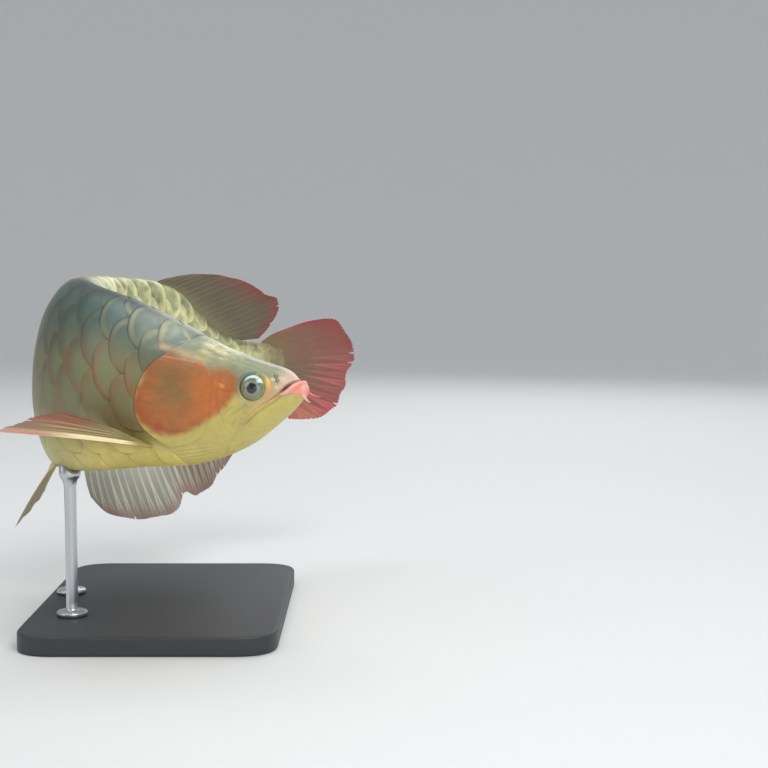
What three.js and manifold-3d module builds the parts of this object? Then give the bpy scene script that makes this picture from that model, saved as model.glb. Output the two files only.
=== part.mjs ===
// An Asian arowana at life size, turning to its left, on a plain display stand.
//
// The fish is shaped straight first: x runs tailward from the snout, y to the fish's right
// and z up. It is then bent along its spine, tipped as a whole and set on the stand.
// Millimetres. The origin is the middle of the stand's underside, +Z is up.

import * as THREE from "three";
import { mergeVertices } from "three/addons/utils/BufferGeometryUtils.js";
import Module from "manifold-3d";

const wasm = await Module();
wasm.setup();

// Main sizes

// Snout tip to tail fin root. Sizes of the fish below that are shares are shares of this.
const LENGTH = 550;
const GAP = 0.35;

// Pose: how far the head points off the x axis, the whole turn of the body to its left,
// the shares of the length between which it turns, and the tip of the whole fish.
const HEAD_TURN = 23.64;
const BODY_TURN = 113.4;
const BEND_FROM = 0.204;
const BEND_TO = 0.771;
const TIP_DOWN = 8.57;
const TIP_SIDE = 0.63;

// Where the snout tip stands above the middle of the base
const SNOUT_AT = [134.6, -180, 226.6];

// Stand
const BASE_WIDE = 214;
const BASE_DEEP = 300;
const BASE_HIGH = 16;
const BASE_CORNER = 34;
const BASE_EDGE = 2;
const ROD_RADIUS = 5;
const ROD_FOOT_RADIUS = 13;
const ROD_FOOT_HIGH = 4;
const ROD_CUP_RADIUS = 9;
const ROD_CUP_HIGH = 9;
const ROD_FRONT_AT = 0.4;
const ROD_REAR_AT = 0.565;

// Outline stations: share of length, back, belly, half width, then how square the section
// is above and below its widest level (2 is an ellipse, less is a keel, more is a box).
const STATIONS = [
  [-0.0070, -0.0150, -0.0175, 0.0008, 2.0, 2.0],
  [-0.0054, -0.0105, -0.0225, 0.0062, 2.0, 2.0],
  [-0.0020, -0.0070, -0.0280, 0.0098, 2.1, 2.0],
  [0.004, -0.0048, -0.0355, 0.0145, 2.2, 2.0],
  [0.0085, -0.0010, -0.0410, 0.0175, 2.3, 2.0],
  [0.014, 0.0032, -0.0480, 0.0210, 2.4, 2.0],
  [0.028, 0.0078, -0.064, 0.0285, 2.5, 1.9],
  [0.066, 0.012, -0.103, 0.040, 2.6, 1.9],
  [0.114, 0.019, -0.1345, 0.049, 2.5, 1.9],
  [0.170, 0.0320, -0.1575, 0.055, 2.3, 1.9],
  [0.235, 0.0508, -0.1725, 0.060, 2.1, 1.9],
  [0.330, 0.0685, -0.1985, 0.062, 2.1, 1.8],
  [0.430, 0.0742, -0.2170, 0.059, 2.1, 1.7],
  [0.540, 0.0768, -0.2230, 0.054, 2.1, 1.6],
  [0.620, 0.0775, -0.2130, 0.049, 2.1, 1.6],
  [0.700, 0.0785, -0.1860, 0.042, 2.1, 1.7],
  [0.760, 0.0685, -0.159, 0.036, 2.0, 1.8],
  [0.820, 0.0330, -0.132, 0.029, 2.0, 1.9],
  [0.880, -0.0015, -0.110, 0.022, 2.0, 2.0],
  [0.940, -0.0128, -0.094, 0.015, 2.0, 2.0],
  [1.000, -0.0135, -0.092, 0.010, 2.0, 2.0],
  [1.140, -0.0135, -0.092, 0.010, 2.0, 2.0],
];
// The widest level lies this share of the depth below the back.
const WIDEST_LEVEL = 0.42;

// Scales: rows around the body, columns along it, first and last scale length as shares,
// where the lattice starts, how far the columns lean, and how proud the scales stand.
const ROWS = 14;
const COLUMN_FIRST = -3;
const COLUMN_LAST = 20;
const SCALE_LENGTH_FRONT = 0.048;
const SCALE_LENGTH_REAR = 0.030;
const LATTICE_START = 0.2816;
const COLUMN_LEAN = 0.009;
const SCALE_RISE_FRONT = 1.7;
const SCALE_RISE_REAR = 0.9;
const SCALE_SHOULDER = 0.067;
// Places with flat skin, as share of length, height and reach: roots of fins and rods
const BARE_SPOTS = [
  [0.228, -0.133, 0.030],
  [0.452, -0.216, 0.026],
  [0.400, -0.212, 0.030],
  [0.565, -0.222, 0.030],
];
// Thin cuts between the lengths of the trunk
const TRUNK_CUTS = [0.43, 0.592, 0.82];

const DORSAL_FROM = 0.715;
const DORSAL_TO = 0.905;
const ANAL_FROM = 0.605;
const ANAL_TO = 0.925;

// Where the head ends and the scaled trunk begins, nape to throat
const HEAD_REAR = [
  [0.166, 0.060],
  [0.172, 0.036],
  [0.190, 0.014],
  [0.212, -0.006],
  [0.230, -0.035],
  [0.2365, -0.070],
  [0.230, -0.100],
  [0.206, -0.121],
  [0.180, -0.136],
  [0.160, -0.165],
  [0.155, -0.190],
];
// Front and lower edge of the gill cover, from its top corner round to its lower rear
const GILL_FRONT = [
  [0.205, 0.000],
  [0.165, 0.001],
  [0.134, -0.004],
  [0.121, -0.030],
  [0.116, -0.065],
  [0.122, -0.098],
  [0.146, -0.119],
  [0.180, -0.134],
];
const GILL_THICK = 3.5;
const GILL_RISE_FRONT = 0.5;
const GILL_RISE_REAR = 1.9;

// Line of the mouth from above the snout down to the corner, then the jaw joint
const MOUTH = [
  [-0.0020, 0.0140],
  [0.0035, 0.0035],
  [0.0085, -0.0060],
  [0.0200, -0.0190],
  [0.0335, -0.0322],
  [0.0540, -0.0510],
  [0.0700, -0.0710],
];
const JAW_JOINT = [
  [0.0830, -0.0930],
  [0.0990, -0.1180],
  [0.1120, -0.1600],
];
const MOUTH_OPEN_FRONT = 1.5;
const MOUTH_OPEN_CORNER = 0.4;
const LIP_RADIUS = 1.5;
const LOWER_LIP_RADIUS = 2.3;

// Eye: middle as shares, radii across and through, how deep its middle sits, its turn
const EYE_AT = [0.0645, -0.0225];
const EYE_RADIUS = 11.2;
const EYE_DEPTH_RADIUS = 8.4;
const EYE_MIDDLE_IN = 5.0;
const EYE_TURN = 12;
const ORBIT_RADIUS = 10.1;
const ORBIT_RIM = 1.3;

// Nostrils: two small tubes a side, the front one smaller
const NOSTRILS = [
  [0.0345, -0.0020, 1.5],
  [0.0305, -0.0075, 1.2],
];

// Grooves between the plates of the cheek, each down one side of the head
const CHEEK_GROOVES = [
  [[0.088, -0.004], [0.099, -0.022], [0.101, -0.045], [0.094, -0.070], [0.088, -0.082]],
  [[0.046, -0.043], [0.060, -0.053], [0.078, -0.058], [0.098, -0.060]],
];
const GROOVE_RADIUS = 0.8;

// Barbels, on the tip of the lower jaw: height of the root as a share, then the reach ahead,
// outward and up, in millimetres. The right one hangs a little.
const BARBEL_RIGHT = { z: -0.0250, reach: [8.0, 5.0, -2.6] };
const BARBEL_LEFT = { z: -0.0200, reach: [9.5, 2.5, -1.4] };
const BARBEL_RADIUS = 1.4;
const BARBEL_TIP_RADIUS = 0.6;

// Small helpers

const mix = (a, b, t) => a + (b - a) * t;
const clamp01 = (t) => Math.min(1, Math.max(0, t));
const smooth = (from, to, x) => {
  const t = clamp01((x - from) / (to - from));
  return t * t * (3 - 2 * t);
};
const radians = (degrees) => degrees * Math.PI / 180;

// A repeatable number from 0 to 1 for a pair of whole numbers
function chance(a, b) {
  const v = Math.sin(a * 127.1 + b * 311.7 + 17.3) * 43758.5453;
  return v - Math.floor(v);
}

// A smooth curve through table rows of [x, value, value, ...] that never overshoots
function through(table, column) {
  const n = table.length;
  const x = table.map((row) => row[0]);
  const y = table.map((row) => row[column]);
  const step = [];
  for (let i = 0; i < n - 1; i++) step.push((y[i + 1] - y[i]) / (x[i + 1] - x[i]));
  const slope = y.map((_, i) => {
    if (i === 0) return step[0];
    if (i === n - 1) return step[n - 2];
    if (step[i - 1] * step[i] <= 0) return 0;
    const before = x[i] - x[i - 1];
    const after = x[i + 1] - x[i];
    const w1 = 2 * after + before;
    const w2 = after + 2 * before;
    return (w1 + w2) / (w1 / step[i - 1] + w2 / step[i]);
  });
  return (at) => {
    const v = Math.min(x[n - 1], Math.max(x[0], at));
    let i = 0;
    while (i < n - 2 && v > x[i + 1]) i++;
    const h = x[i + 1] - x[i];
    const t = (v - x[i]) / h;
    const a = (1 + 2 * t) * (1 - t) * (1 - t);
    const b = t * (1 - t) * (1 - t);
    const c = t * t * (3 - 2 * t);
    const d = t * t * (t - 1);
    return a * y[i] + b * h * slope[i] + c * y[i + 1] + d * h * slope[i + 1];
  };
}

// Outline of the straight body, in shares of the length

const backAt = through(STATIONS, 1);
const bellyAt = through(STATIONS, 2);
const halfWidthAt = through(STATIONS, 3);
const squareAboveAt = through(STATIONS, 4);
const squareBelowAt = through(STATIONS, 5);

// The section at a share of the length, as sizes in millimetres
function sectionAt(s) {
  const back = backAt(s) * LENGTH;
  const belly = bellyAt(s) * LENGTH;
  const level = mix(back, belly, WIDEST_LEVEL);
  return {
    back,
    belly,
    level,
    half: halfWidthAt(s) * LENGTH,
    above: squareAboveAt(s),
    below: squareBelowAt(s),
  };
}

// Half width of the body at a share of the length and a height
function flankAt(s, z) {
  const c = sectionAt(s);
  const up = z > c.level;
  const tall = up ? c.back - c.level : c.level - c.belly;
  const power = up ? c.above : c.below;
  const v = Math.min(1, Math.abs(z - c.level) / tall);
  return c.half * Math.pow(1 - Math.pow(v, up ? power : 2), 1 / power);
}

// The right half of the section from back to belly, evenly spaced along its girth
const SECTION_STEPS = 72;
const sectionCache = new Map();
function halfSection(s) {
  const key = s.toFixed(6);
  if (sectionCache.has(key)) return sectionCache.get(key);
  const c = sectionAt(s);
  const points = [];
  for (let i = 0; i <= SECTION_STEPS; i++) {
    const turn = Math.PI * i / SECTION_STEPS;
    const up = turn < Math.PI / 2;
    const tall = up ? c.back - c.level : c.level - c.belly;
    const power = up ? c.above : c.below;
    const side = Math.pow(Math.max(0, Math.sin(turn)), 2 / power);
    const rise = Math.sign(Math.cos(turn)) * Math.pow(Math.abs(Math.cos(turn)), up ? 2 / power : 1);
    points.push([c.half * side, c.level + tall * rise]);
  }
  const along = [0];
  for (let i = 1; i < points.length; i++) {
    const dy = points[i][0] - points[i - 1][0];
    const dz = points[i][1] - points[i - 1][1];
    along.push(along[i - 1] + Math.hypot(dy, dz));
  }
  const made = { points, along, girth: along[along.length - 1] };
  sectionCache.set(key, made);
  return made;
}

// A point on the skin: share of length, share of half girth from the back (0 to 1 down the
// right side, 0 to -1 down the left), and height above the skin in millimetres
function skinPoint(s, around, rise) {
  const side = around < 0 ? -1 : 1;
  const { points, along, girth } = halfSection(s);
  const want = Math.min(1, Math.abs(around)) * girth;
  let i = 0;
  while (i < along.length - 2 && along[i + 1] < want) i++;
  const t = (want - along[i]) / Math.max(1e-6, along[i + 1] - along[i]);
  const y = mix(points[i][0], points[i + 1][0], t);
  const z = mix(points[i][1], points[i + 1][1], t);
  const before = points[Math.max(0, i - 1)];
  const after = points[Math.min(points.length - 1, i + 2)];
  let ny = -(after[1] - before[1]);
  let nz = after[0] - before[0];
  const size = Math.hypot(ny, nz);
  ny /= size;
  nz /= size;
  if (want < 1e-6) [ny, nz] = [0, 1];
  if (girth - want < 1e-6) [ny, nz] = [0, -1];
  return [s * LENGTH, side * (y + ny * rise), z + nz * rise];
}

// Solids

// A closed solid from points and triangles, turned so that its faces look outward
function solidFrom(points, triangles) {
  let volume = 0;
  for (const [a, b, c] of triangles) {
    const [p, q, r] = [points[a], points[b], points[c]];
    volume += p[0] * (q[1] * r[2] - q[2] * r[1]);
    volume += p[1] * (q[2] * r[0] - q[0] * r[2]);
    volume += p[2] * (q[0] * r[1] - q[1] * r[0]);
  }
  const faces = volume < 0 ? triangles.map(([a, b, c]) => [a, c, b]) : triangles;
  return new wasm.Manifold(new wasm.Mesh({
    numProp: 3,
    vertProperties: new Float32Array(points.flat()),
    triVerts: new Uint32Array(faces.flat()),
  }));
}

// The same from a closed three.js geometry
function solidOf(geometry) {
  let g = geometry.clone();
  g.deleteAttribute("normal");
  g.deleteAttribute("uv");
  g = mergeVertices(g, 1e-4);
  const at = g.getAttribute("position");
  const points = [];
  for (let i = 0; i < at.count; i++) points.push([at.getX(i), at.getY(i), at.getZ(i)]);
  const index = g.getIndex();
  const triangles = [];
  for (let i = 0; i < index.count; i += 3) {
    const [a, b, c] = [index.getX(i), index.getX(i + 1), index.getX(i + 2)];
    if (a !== b && b !== c && c !== a) triangles.push([a, b, c]);
  }
  return solidFrom(points, triangles);
}

// Points and triangles of a solid
function facesOf(solid) {
  const mesh = solid.getMesh();
  const points = [];
  for (let i = 0; i < mesh.numVert; i++) {
    const o = i * mesh.numProp;
    points.push([mesh.vertProperties[o], mesh.vertProperties[o + 1], mesh.vertProperties[o + 2]]);
  }
  const triangles = [];
  for (let i = 0; i < mesh.numTri; i++) {
    triangles.push([mesh.triVerts[3 * i], mesh.triVerts[3 * i + 1], mesh.triVerts[3 * i + 2]]);
  }
  return { points, triangles };
}

// The largest single body of a solid
function largest(solid) {
  const bodies = solid.decompose();
  bodies.sort((a, b) => b.volume() - a.volume());
  return bodies[0];
}

// A skin over rings of points, closed with a fan at each end
function loft(rings) {
  const count = rings[0].length;
  const points = rings.flat();
  const triangles = [];
  for (let i = 0; i < rings.length - 1; i++) {
    for (let j = 0; j < count; j++) {
      const a = i * count + j;
      const b = i * count + (j + 1) % count;
      triangles.push([a, b, b + count], [a, b + count, a + count]);
    }
  }
  for (const [ring, start, flip] of [
    [rings[0], 0, true],
    [rings[rings.length - 1], (rings.length - 1) * count, false],
  ]) {
    const middle = points.length;
    points.push([0, 1, 2].map((axis) => ring.reduce((sum, p) => sum + p[axis], 0) / count));
    for (let j = 0; j < count; j++) {
      const a = start + j;
      const b = start + (j + 1) % count;
      triangles.push(flip ? [b, a, middle] : [a, b, middle]);
    }
  }
  return solidFrom(points, triangles);
}

// A flat outline in side view, carried straight across the body
function acrossBody(outline, from = -90, to = 90) {
  const shape = new THREE.Shape(outline.map(([x, z]) => new THREE.Vector2(x, z)));
  const g = new THREE.ExtrudeGeometry(shape, { depth: to - from, bevelEnabled: false });
  g.rotateX(Math.PI / 2);
  g.translate(0, to, 0);
  return solidOf(g);
}

// A smooth run of points through shares, in millimetres
function smoothLine(shares, count) {
  const line = new THREE.SplineCurve(
    shares.map(([x, z]) => new THREE.Vector2(x * LENGTH, z * LENGTH)),
  );
  return line.getPoints(count).map((p) => [p.x, p.y]);
}

// The same outline moved outward by a distance; its points run anticlockwise
function grown(outline, by) {
  return outline.map((p, i) => {
    const a = outline[(i + outline.length - 1) % outline.length];
    const b = outline[(i + 1) % outline.length];
    const dx = b[0] - a[0];
    const dz = b[1] - a[1];
    const size = Math.hypot(dx, dz);
    return [p[0] + dz / size * by, p[1] - dx / size * by];
  });
}

// A round tube through points with a radius at each
function tube(points, radii, sides = 8) {
  const rings = points.map((p, i) => {
    const a = new THREE.Vector3(...points[Math.max(0, i - 1)]);
    const b = new THREE.Vector3(...points[Math.min(points.length - 1, i + 1)]);
    const along = b.sub(a).normalize();
    const helper = Math.abs(along.z) < 0.9 ? new THREE.Vector3(0, 0, 1) : new THREE.Vector3(1, 0, 0);
    const e1 = helper.cross(along).normalize();
    const e2 = along.clone().cross(e1);
    return Array.from({ length: sides }, (_, j) => {
      const turn = 2 * Math.PI * j / sides;
      const c = Math.cos(turn) * radii[i];
      const d = Math.sin(turn) * radii[i];
      return [p[0] + e1.x * c + e2.x * d, p[1] + e1.y * c + e2.y * d, p[2] + e1.z * c + e2.z * d];
    });
  });
  return loft(rings);
}

// Bend of the spine

const SPINE_STEP = 1;
const spine = [];
{
  let x = 0;
  let y = 0;
  const headingAt = (s) => radians(HEAD_TURN + BODY_TURN * smooth(BEND_FROM, BEND_TO, s / LENGTH));
  for (let s = 0; s <= 1.3 * LENGTH; s += SPINE_STEP) {
    const heading = headingAt(s);
    spine.push([x, y, heading]);
    const middle = headingAt(s + SPINE_STEP / 2);
    x -= Math.cos(middle) * SPINE_STEP;
    y += Math.sin(middle) * SPINE_STEP;
  }
}

// Place and heading of the spine, straight on past both ends
function spineAt(s) {
  const last = (spine.length - 1) * SPINE_STEP;
  const v = Math.min(last, Math.max(0, s));
  const i = Math.min(spine.length - 2, Math.floor(v / SPINE_STEP));
  const t = v / SPINE_STEP - i;
  const heading = mix(spine[i][2], spine[i + 1][2], t);
  const x = mix(spine[i][0], spine[i + 1][0], t) - (s - v) * Math.cos(heading);
  const y = mix(spine[i][1], spine[i + 1][1], t) + (s - v) * Math.sin(heading);
  return { x, y, heading };
}

// A point of the straight fish on the bent one
function bentPoint([s, right, z]) {
  const { x, y, heading } = spineAt(s);
  return [x - right * Math.sin(heading), y - right * Math.cos(heading), z];
}

// A point carried stiffly with the spine at one place
function carriedPoint([s, right, z], root) {
  const { x, y, heading } = spineAt(root);
  const past = s - root;
  return [
    x - past * Math.cos(heading) - right * Math.sin(heading),
    y + past * Math.sin(heading) - right * Math.cos(heading),
    z,
  ];
}

function moved(solid, move) {
  const { points, triangles } = facesOf(solid);
  return solidFrom(points.map(move), triangles);
}
const bent = (solid) => moved(solid, bentPoint);

// Head, jaw and gill covers

const HEAD_SIDES = 26;
const HEAD_RINGS = [
  -0.0069, -0.0056, -0.0030, 0.001, 0.006, 0.010, 0.015, 0.022, 0.033, 0.046,
  0.062, 0.080, 0.100, 0.122, 0.146, 0.172, 0.200, 0.230, 0.262,
];
const CORE_SIDES = 16;
const CORE_RINGS = [0.100, 0.130, 0.170, 0.215, 0.262];

// The smooth skin of the head with its surface raised by a height that may vary along it
function headSkin(riseAt, stations = HEAD_RINGS, sides = HEAD_SIDES) {
  const rings = stations.map((s) => Array.from({ length: sides }, (_, j) => {
    const turn = j / sides;
    const around = turn <= 0.5 ? 2 * turn : 2 * turn - 2;
    return skinPoint(s, around, riseAt(s));
  }));
  return loft(rings);
}

// The core of the head under the gill covers
const sunk = (depth) => headSkin(() => -depth, CORE_RINGS, CORE_SIDES);
const gillRise = (s) => mix(GILL_RISE_FRONT, GILL_RISE_REAR, smooth(0.115, 0.235, s));
const headLoft = headSkin(() => 0);

const rearLine = smoothLine(HEAD_REAR, 20);
const headOutline = [[0.0, -0.20], [-0.04, -0.12], [-0.04, 0.09], [0.1, 0.09]]
  .map(([x, z]) => [x * LENGTH, z * LENGTH]);
const headShape = [...rearLine.slice().reverse(), ...headOutline.slice().reverse()];
const anticlockwise = THREE.ShapeUtils.isClockWise(headShape.map((p) => new THREE.Vector2(...p)))
  ? headShape.reverse()
  : headShape;
const headRegion = acrossBody(anticlockwise);
const headRegionWide = acrossBody(grown(anticlockwise, GAP));

// The gill cover runs back to the head's rear edge between two places on it.
const rearOfGill = rearLine.filter(([x, z]) => x > 0.204 * LENGTH && z < -0.001 * LENGTH);
const gillShape = [
  ...smoothLine(GILL_FRONT, 12),
  ...rearOfGill.filter(([, z]) => z > -0.128 * LENGTH).reverse(),
];
if (THREE.ShapeUtils.isClockWise(gillShape.map((p) => new THREE.Vector2(...p)))) gillShape.reverse();

const gillShell = headSkin(gillRise)
  .subtract(sunk(GILL_THICK))
  .intersect(acrossBody(gillShape));
const gillPocket = acrossBody(grown(gillShape, GAP)).subtract(sunk(GILL_THICK + GAP));

const rightHalf = solidOf(new THREE.BoxGeometry(400, 200, 400).translate(0, 102, 0));
const leftHalf = solidOf(new THREE.BoxGeometry(400, 200, 400).translate(0, -102, 0));
const gillRight = largest(gillShell.intersect(rightHalf));
const gillLeft = largest(gillShell.intersect(leftHalf));

// Line of the mouth on the skin, moved off it in side view, from the right corner round the
// snout to the left corner
function lipLine(off) {
  const path = smoothLine(MOUTH.slice(1), 16);
  const side = [];
  for (let i = 0; i < path.length; i++) {
    const a = path[Math.max(0, i - 1)];
    const b = path[Math.min(path.length - 1, i + 1)];
    const size = Math.hypot(b[0] - a[0], b[1] - a[1]);
    const x = path[i][0] - (b[1] - a[1]) / size * off;
    const z = path[i][1] + (b[0] - a[0]) / size * off;
    const reach = flankAt(x / LENGTH, z);
    if (z < backAt(x / LENGTH) * LENGTH && reach > 2.2) side.push([x, reach - 0.5, z]);
  }
  const front = side[0];
  const middle = [front[0] - 1.0, 0, front[2] + 0.5];
  const left = side.map(([x, y, z]) => [x, -y, z]);
  return [...side.slice().reverse(), middle, ...left];
}
function lip(off, radius) {
  const curve = new THREE.CatmullRomCurve3(lipLine(off).map((p) => new THREE.Vector3(...p)));
  const points = curve.getPoints(22).map((p) => [p.x, p.y, p.z]);
  const radii = points.map((_, i) => {
    const toEnd = Math.min(i, points.length - 1 - i) / 11;
    return radius * mix(0.45, 1, smooth(0, 0.8, toEnd));
  });
  return tube(points, radii, 6);
}

// Mouth and jaw joint as one cut, wide open at the front and fine at the joint
const cutLine = smoothLine([...MOUTH, ...JAW_JOINT], 22);
function cutSide(sign) {
  return cutLine.map((p, i) => {
    const a = cutLine[Math.max(0, i - 1)];
    const b = cutLine[Math.min(cutLine.length - 1, i + 1)];
    const size = Math.hypot(b[0] - a[0], b[1] - a[1]);
    const wide = mix(MOUTH_OPEN_FRONT, MOUTH_OPEN_CORNER, smooth(0, 0.6, i / (cutLine.length - 1)));
    return [
      p[0] - sign * (b[1] - a[1]) / size * wide / 2,
      p[1] + sign * (b[0] - a[0]) / size * wide / 2,
    ];
  });
}
const farBelow = [[0.10, -0.24], [-0.06, -0.24], [-0.06, 0.012]].map(([x, z]) => [x * LENGTH, z * LENGTH]);
const jawShape = [...cutSide(-1), ...farBelow];
const jawAndCutShape = [...cutSide(1), ...farBelow];

// Eyes

const eyeLevel = EYE_AT[1] * LENGTH;
const eyeAcross = flankAt(EYE_AT[0], eyeLevel);
function eyeBall(side, extra) {
  const g = new THREE.SphereGeometry(1, 16, 8);
  g.scale(EYE_RADIUS + extra, EYE_DEPTH_RADIUS + extra, EYE_RADIUS + extra);
  g.rotateZ(side * radians(EYE_TURN));
  g.translate(EYE_AT[0] * LENGTH, side * (eyeAcross - EYE_MIDDLE_IN), eyeLevel);
  return solidOf(g);
}
function orbitRim(side) {
  const g = new THREE.TorusGeometry(ORBIT_RADIUS, ORBIT_RIM, 5, 16);
  g.rotateX(Math.PI / 2);
  g.rotateZ(side * radians(EYE_TURN));
  g.translate(EYE_AT[0] * LENGTH, side * (eyeAcross - 0.5), eyeLevel);
  return solidOf(g);
}

// A line on the side of the head, a little under the skin
function onHead(shares, side, rise) {
  return smoothLine(shares, 8).map(([x, z]) => [x, side * (flankAt(x / LENGTH, z) + rise), z]);
}

let wholeHead = headLoft.add(lip(1.2, LIP_RADIUS)).add(lip(-2.2, LOWER_LIP_RADIUS));
for (const side of [1, -1]) {
  wholeHead = wholeHead.add(orbitRim(side)).subtract(eyeBall(side, GAP));
  for (const [s, z, radius] of NOSTRILS) {
    const at = [s * LENGTH, side * flankAt(s, z * LENGTH), z * LENGTH];
    const out = new THREE.Vector3(-0.25, side * 0.85, 0.45).normalize();
    const along = (d) => [at[0] + out.x * d, at[1] + out.y * d, at[2] + out.z * d];
    wholeHead = wholeHead
      .add(tube([along(-2), along(0.9)], [radius, radius * 0.9], 8))
      .subtract(tube([along(-1.2), along(2)], [radius * 0.5, radius * 0.6], 6));
  }
  for (const groove of CHEEK_GROOVES) {
    const line = onHead(groove, side, 0.2);
    const swell = (i) => mix(0.5, 1, Math.sin(Math.PI * i / (line.length - 1)));
    const radii = line.map((_, i) => GROOVE_RADIUS * swell(i));
    wholeHead = wholeHead.subtract(tube(line, radii, 5));
  }
}
const jaw = largest(wholeHead.intersect(acrossBody(jawShape)));
const head = largest(
  wholeHead.intersect(headRegion).subtract(acrossBody(jawAndCutShape)).subtract(gillPocket),
);

// Scaled trunk

const LATTICE_RATE = (SCALE_LENGTH_REAR - SCALE_LENGTH_FRONT) / (1 - LATTICE_START);

// Share of length of a place in the lattice: column count, and row from the back
function alongLattice(a, row) {
  const down = Math.abs(row <= ROWS / 2 ? row : row - ROWS);
  const straight = LATTICE_START
    + SCALE_LENGTH_FRONT / LATTICE_RATE * (Math.exp(LATTICE_RATE * a) - 1);
  const lean = COLUMN_LEAN * (3 - down) * (1 - smooth(0.45, 0.95, straight));
  return straight + lean;
}

// Share of half girth of a row: the outer rows draw together toward the tail
const ROW_CLOSING = [1, 0.75, 0.3, 0, 0.3, 0.75, 1];
function downGirth(row, s) {
  const closing = 0.55 * smooth(0.62, 0.98, s);
  const spaces = ROW_CLOSING.map((c) => 1 - closing * c);
  const whole = spaces.reduce((a, b) => a + b, 0);
  const full = Math.floor(row);
  let sum = 0;
  for (let i = 0; i < full; i++) sum += spaces[i];
  if (row > full) sum += (row - full) * spaces[full];
  return sum / whole;
}

// How proud a scale stands at a place: flat where fins and rods meet the skin
function scaleRise(s, row, column) {
  const down = Math.abs(row <= ROWS / 2 ? row : row - ROWS);
  const size = mix(SCALE_RISE_FRONT, SCALE_RISE_REAR, smooth(0.5, 1, s));
  const [, , z] = skinPoint(s, downGirth(down, s), 0);
  let bare = 1;
  for (const [bs, bz, reach] of BARE_SPOTS) {
    bare = Math.min(bare, smooth(0.35, 1.3, Math.hypot(s - bs, z / LENGTH - bz) / reach));
  }
  if (down < 0.8) bare = Math.min(bare, 0.8 - 0.76 * smooth(0.66, 0.70, s));
  if (down > 6.2) bare = Math.min(bare, 0.7 - 0.66 * smooth(0.55, 0.59, s));
  return 0.12 + size * bare * mix(0.85, 1.15, chance(column, row));
}

function latticePoint(a, row, rise) {
  const down = Math.abs(row <= ROWS / 2 ? row : row - ROWS);
  const side = row <= ROWS / 2 ? 1 : -1;
  const s = alongLattice(a, row);
  return skinPoint(s, side * downGirth(down, s), rise - 0.6);
}

function scaledTrunk() {
  const points = [];
  const known = new Map();
  const put = (key, a, row, rise) => {
    if (!known.has(key)) {
      known.set(key, points.length);
      points.push(latticePoint(a, row, rise));
    }
    return known.get(key);
  };
  const wrap = (row) => (row + ROWS) % ROWS;
  // Place of a scale's rear tip, drifting a little from scale to scale
  const tipOf = (n, row) => n + (row % 2 ? 0.5 : 0) + 0.06 * (chance(n + 40, row + 3) - 0.5);
  const shoulderOf = (n, row) => n + (row % 2 ? 0.5 : 0) - SCALE_SHOULDER;
  const low = (n, row) => put(`l${n},${wrap(row)}`, tipOf(n, wrap(row)), wrap(row), 0);
  const high = (n, row) => {
    const r = wrap(row);
    const rise = scaleRise(alongLattice(tipOf(n, r), r), r, n);
    return put(`h${n},${r}`, tipOf(n, r), r, rise);
  };
  // Shoulder of a scale on the side of the next or the last row
  const shoulder = (n, row, step, up) => {
    const r = wrap(row);
    const at = wrap(row + step / 2);
    const a = shoulderOf(n, r);
    const rise = up ? scaleRise(alongLattice(a, at), at, n) * 0.95 : 0;
    return put(`${up ? "S" : "s"}${n},${r},${step}`, a, at, rise);
  };
  // The scale beside one, half a scale further forward
  const besideAhead = (n, row) => (row % 2 ? n : n - 1);
  const triangles = [];
  for (let n = COLUMN_FIRST; n <= COLUMN_LAST; n++) {
    for (let row = 0; row < ROWS; row++) {
      const ahead = besideAhead(n, row);
      const front = low(n - 1, row);
      const tip = high(n, row);
      const tipLow = low(n, row);
      for (const step of [1, -1]) {
        const frontShoulder = shoulder(ahead, row + step, -step, false);
        const corner = low(ahead, row + step);
        const own = shoulder(n, row, step, true);
        const ownLow = shoulder(n, row, step, false);
        const faces = [
          [front, frontShoulder, own],
          [frontShoulder, corner, own],
          [front, own, tip],
          [corner, ownLow, own],
          [own, ownLow, tipLow],
          [own, tipLow, tip],
        ];
        for (const [a, b, c] of faces) triangles.push(step > 0 ? [a, b, c] : [a, c, b]);
      }
    }
  }
  // Close both ends, each with a fan over its zigzag edge
  for (const [n, rear] of [[COLUMN_FIRST - 1, false], [COLUMN_LAST, true]]) {
    const edge = [];
    for (let row = 0; row < ROWS; row += 2) {
      edge.push(low(n, row), shoulder(n, row + 1, -1, false));
      edge.push(low(n, row + 1), shoulder(n, row + 1, 1, false));
    }
    const middle = points.length;
    const at = edge.map((i) => points[i]);
    points.push([0, 1, 2].map((axis) => at.reduce((sum, p) => sum + p[axis], 0) / at.length));
    edge.forEach((a, i) => {
      const b = edge[(i + 1) % edge.length];
      triangles.push(rear ? [a, b, middle] : [b, a, middle]);
    });
  }
  return solidFrom(points, triangles);
}

// An upright slab across the spine at a share of the length
function slabAt(share, thick, wide) {
  const { x, y, heading } = spineAt(share * LENGTH);
  const g = new THREE.BoxGeometry(thick, wide, 500);
  g.rotateZ(-heading);
  g.translate(x, y, 0);
  return solidOf(g);
}

const bentHead = bent(head);
const bentJaw = bent(jaw);
const pastTail = slabAt(1 + 40 / LENGTH, 80, 200);
const body = largest(bent(scaledTrunk().subtract(headRegionWide)).subtract(pastTail));

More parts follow.
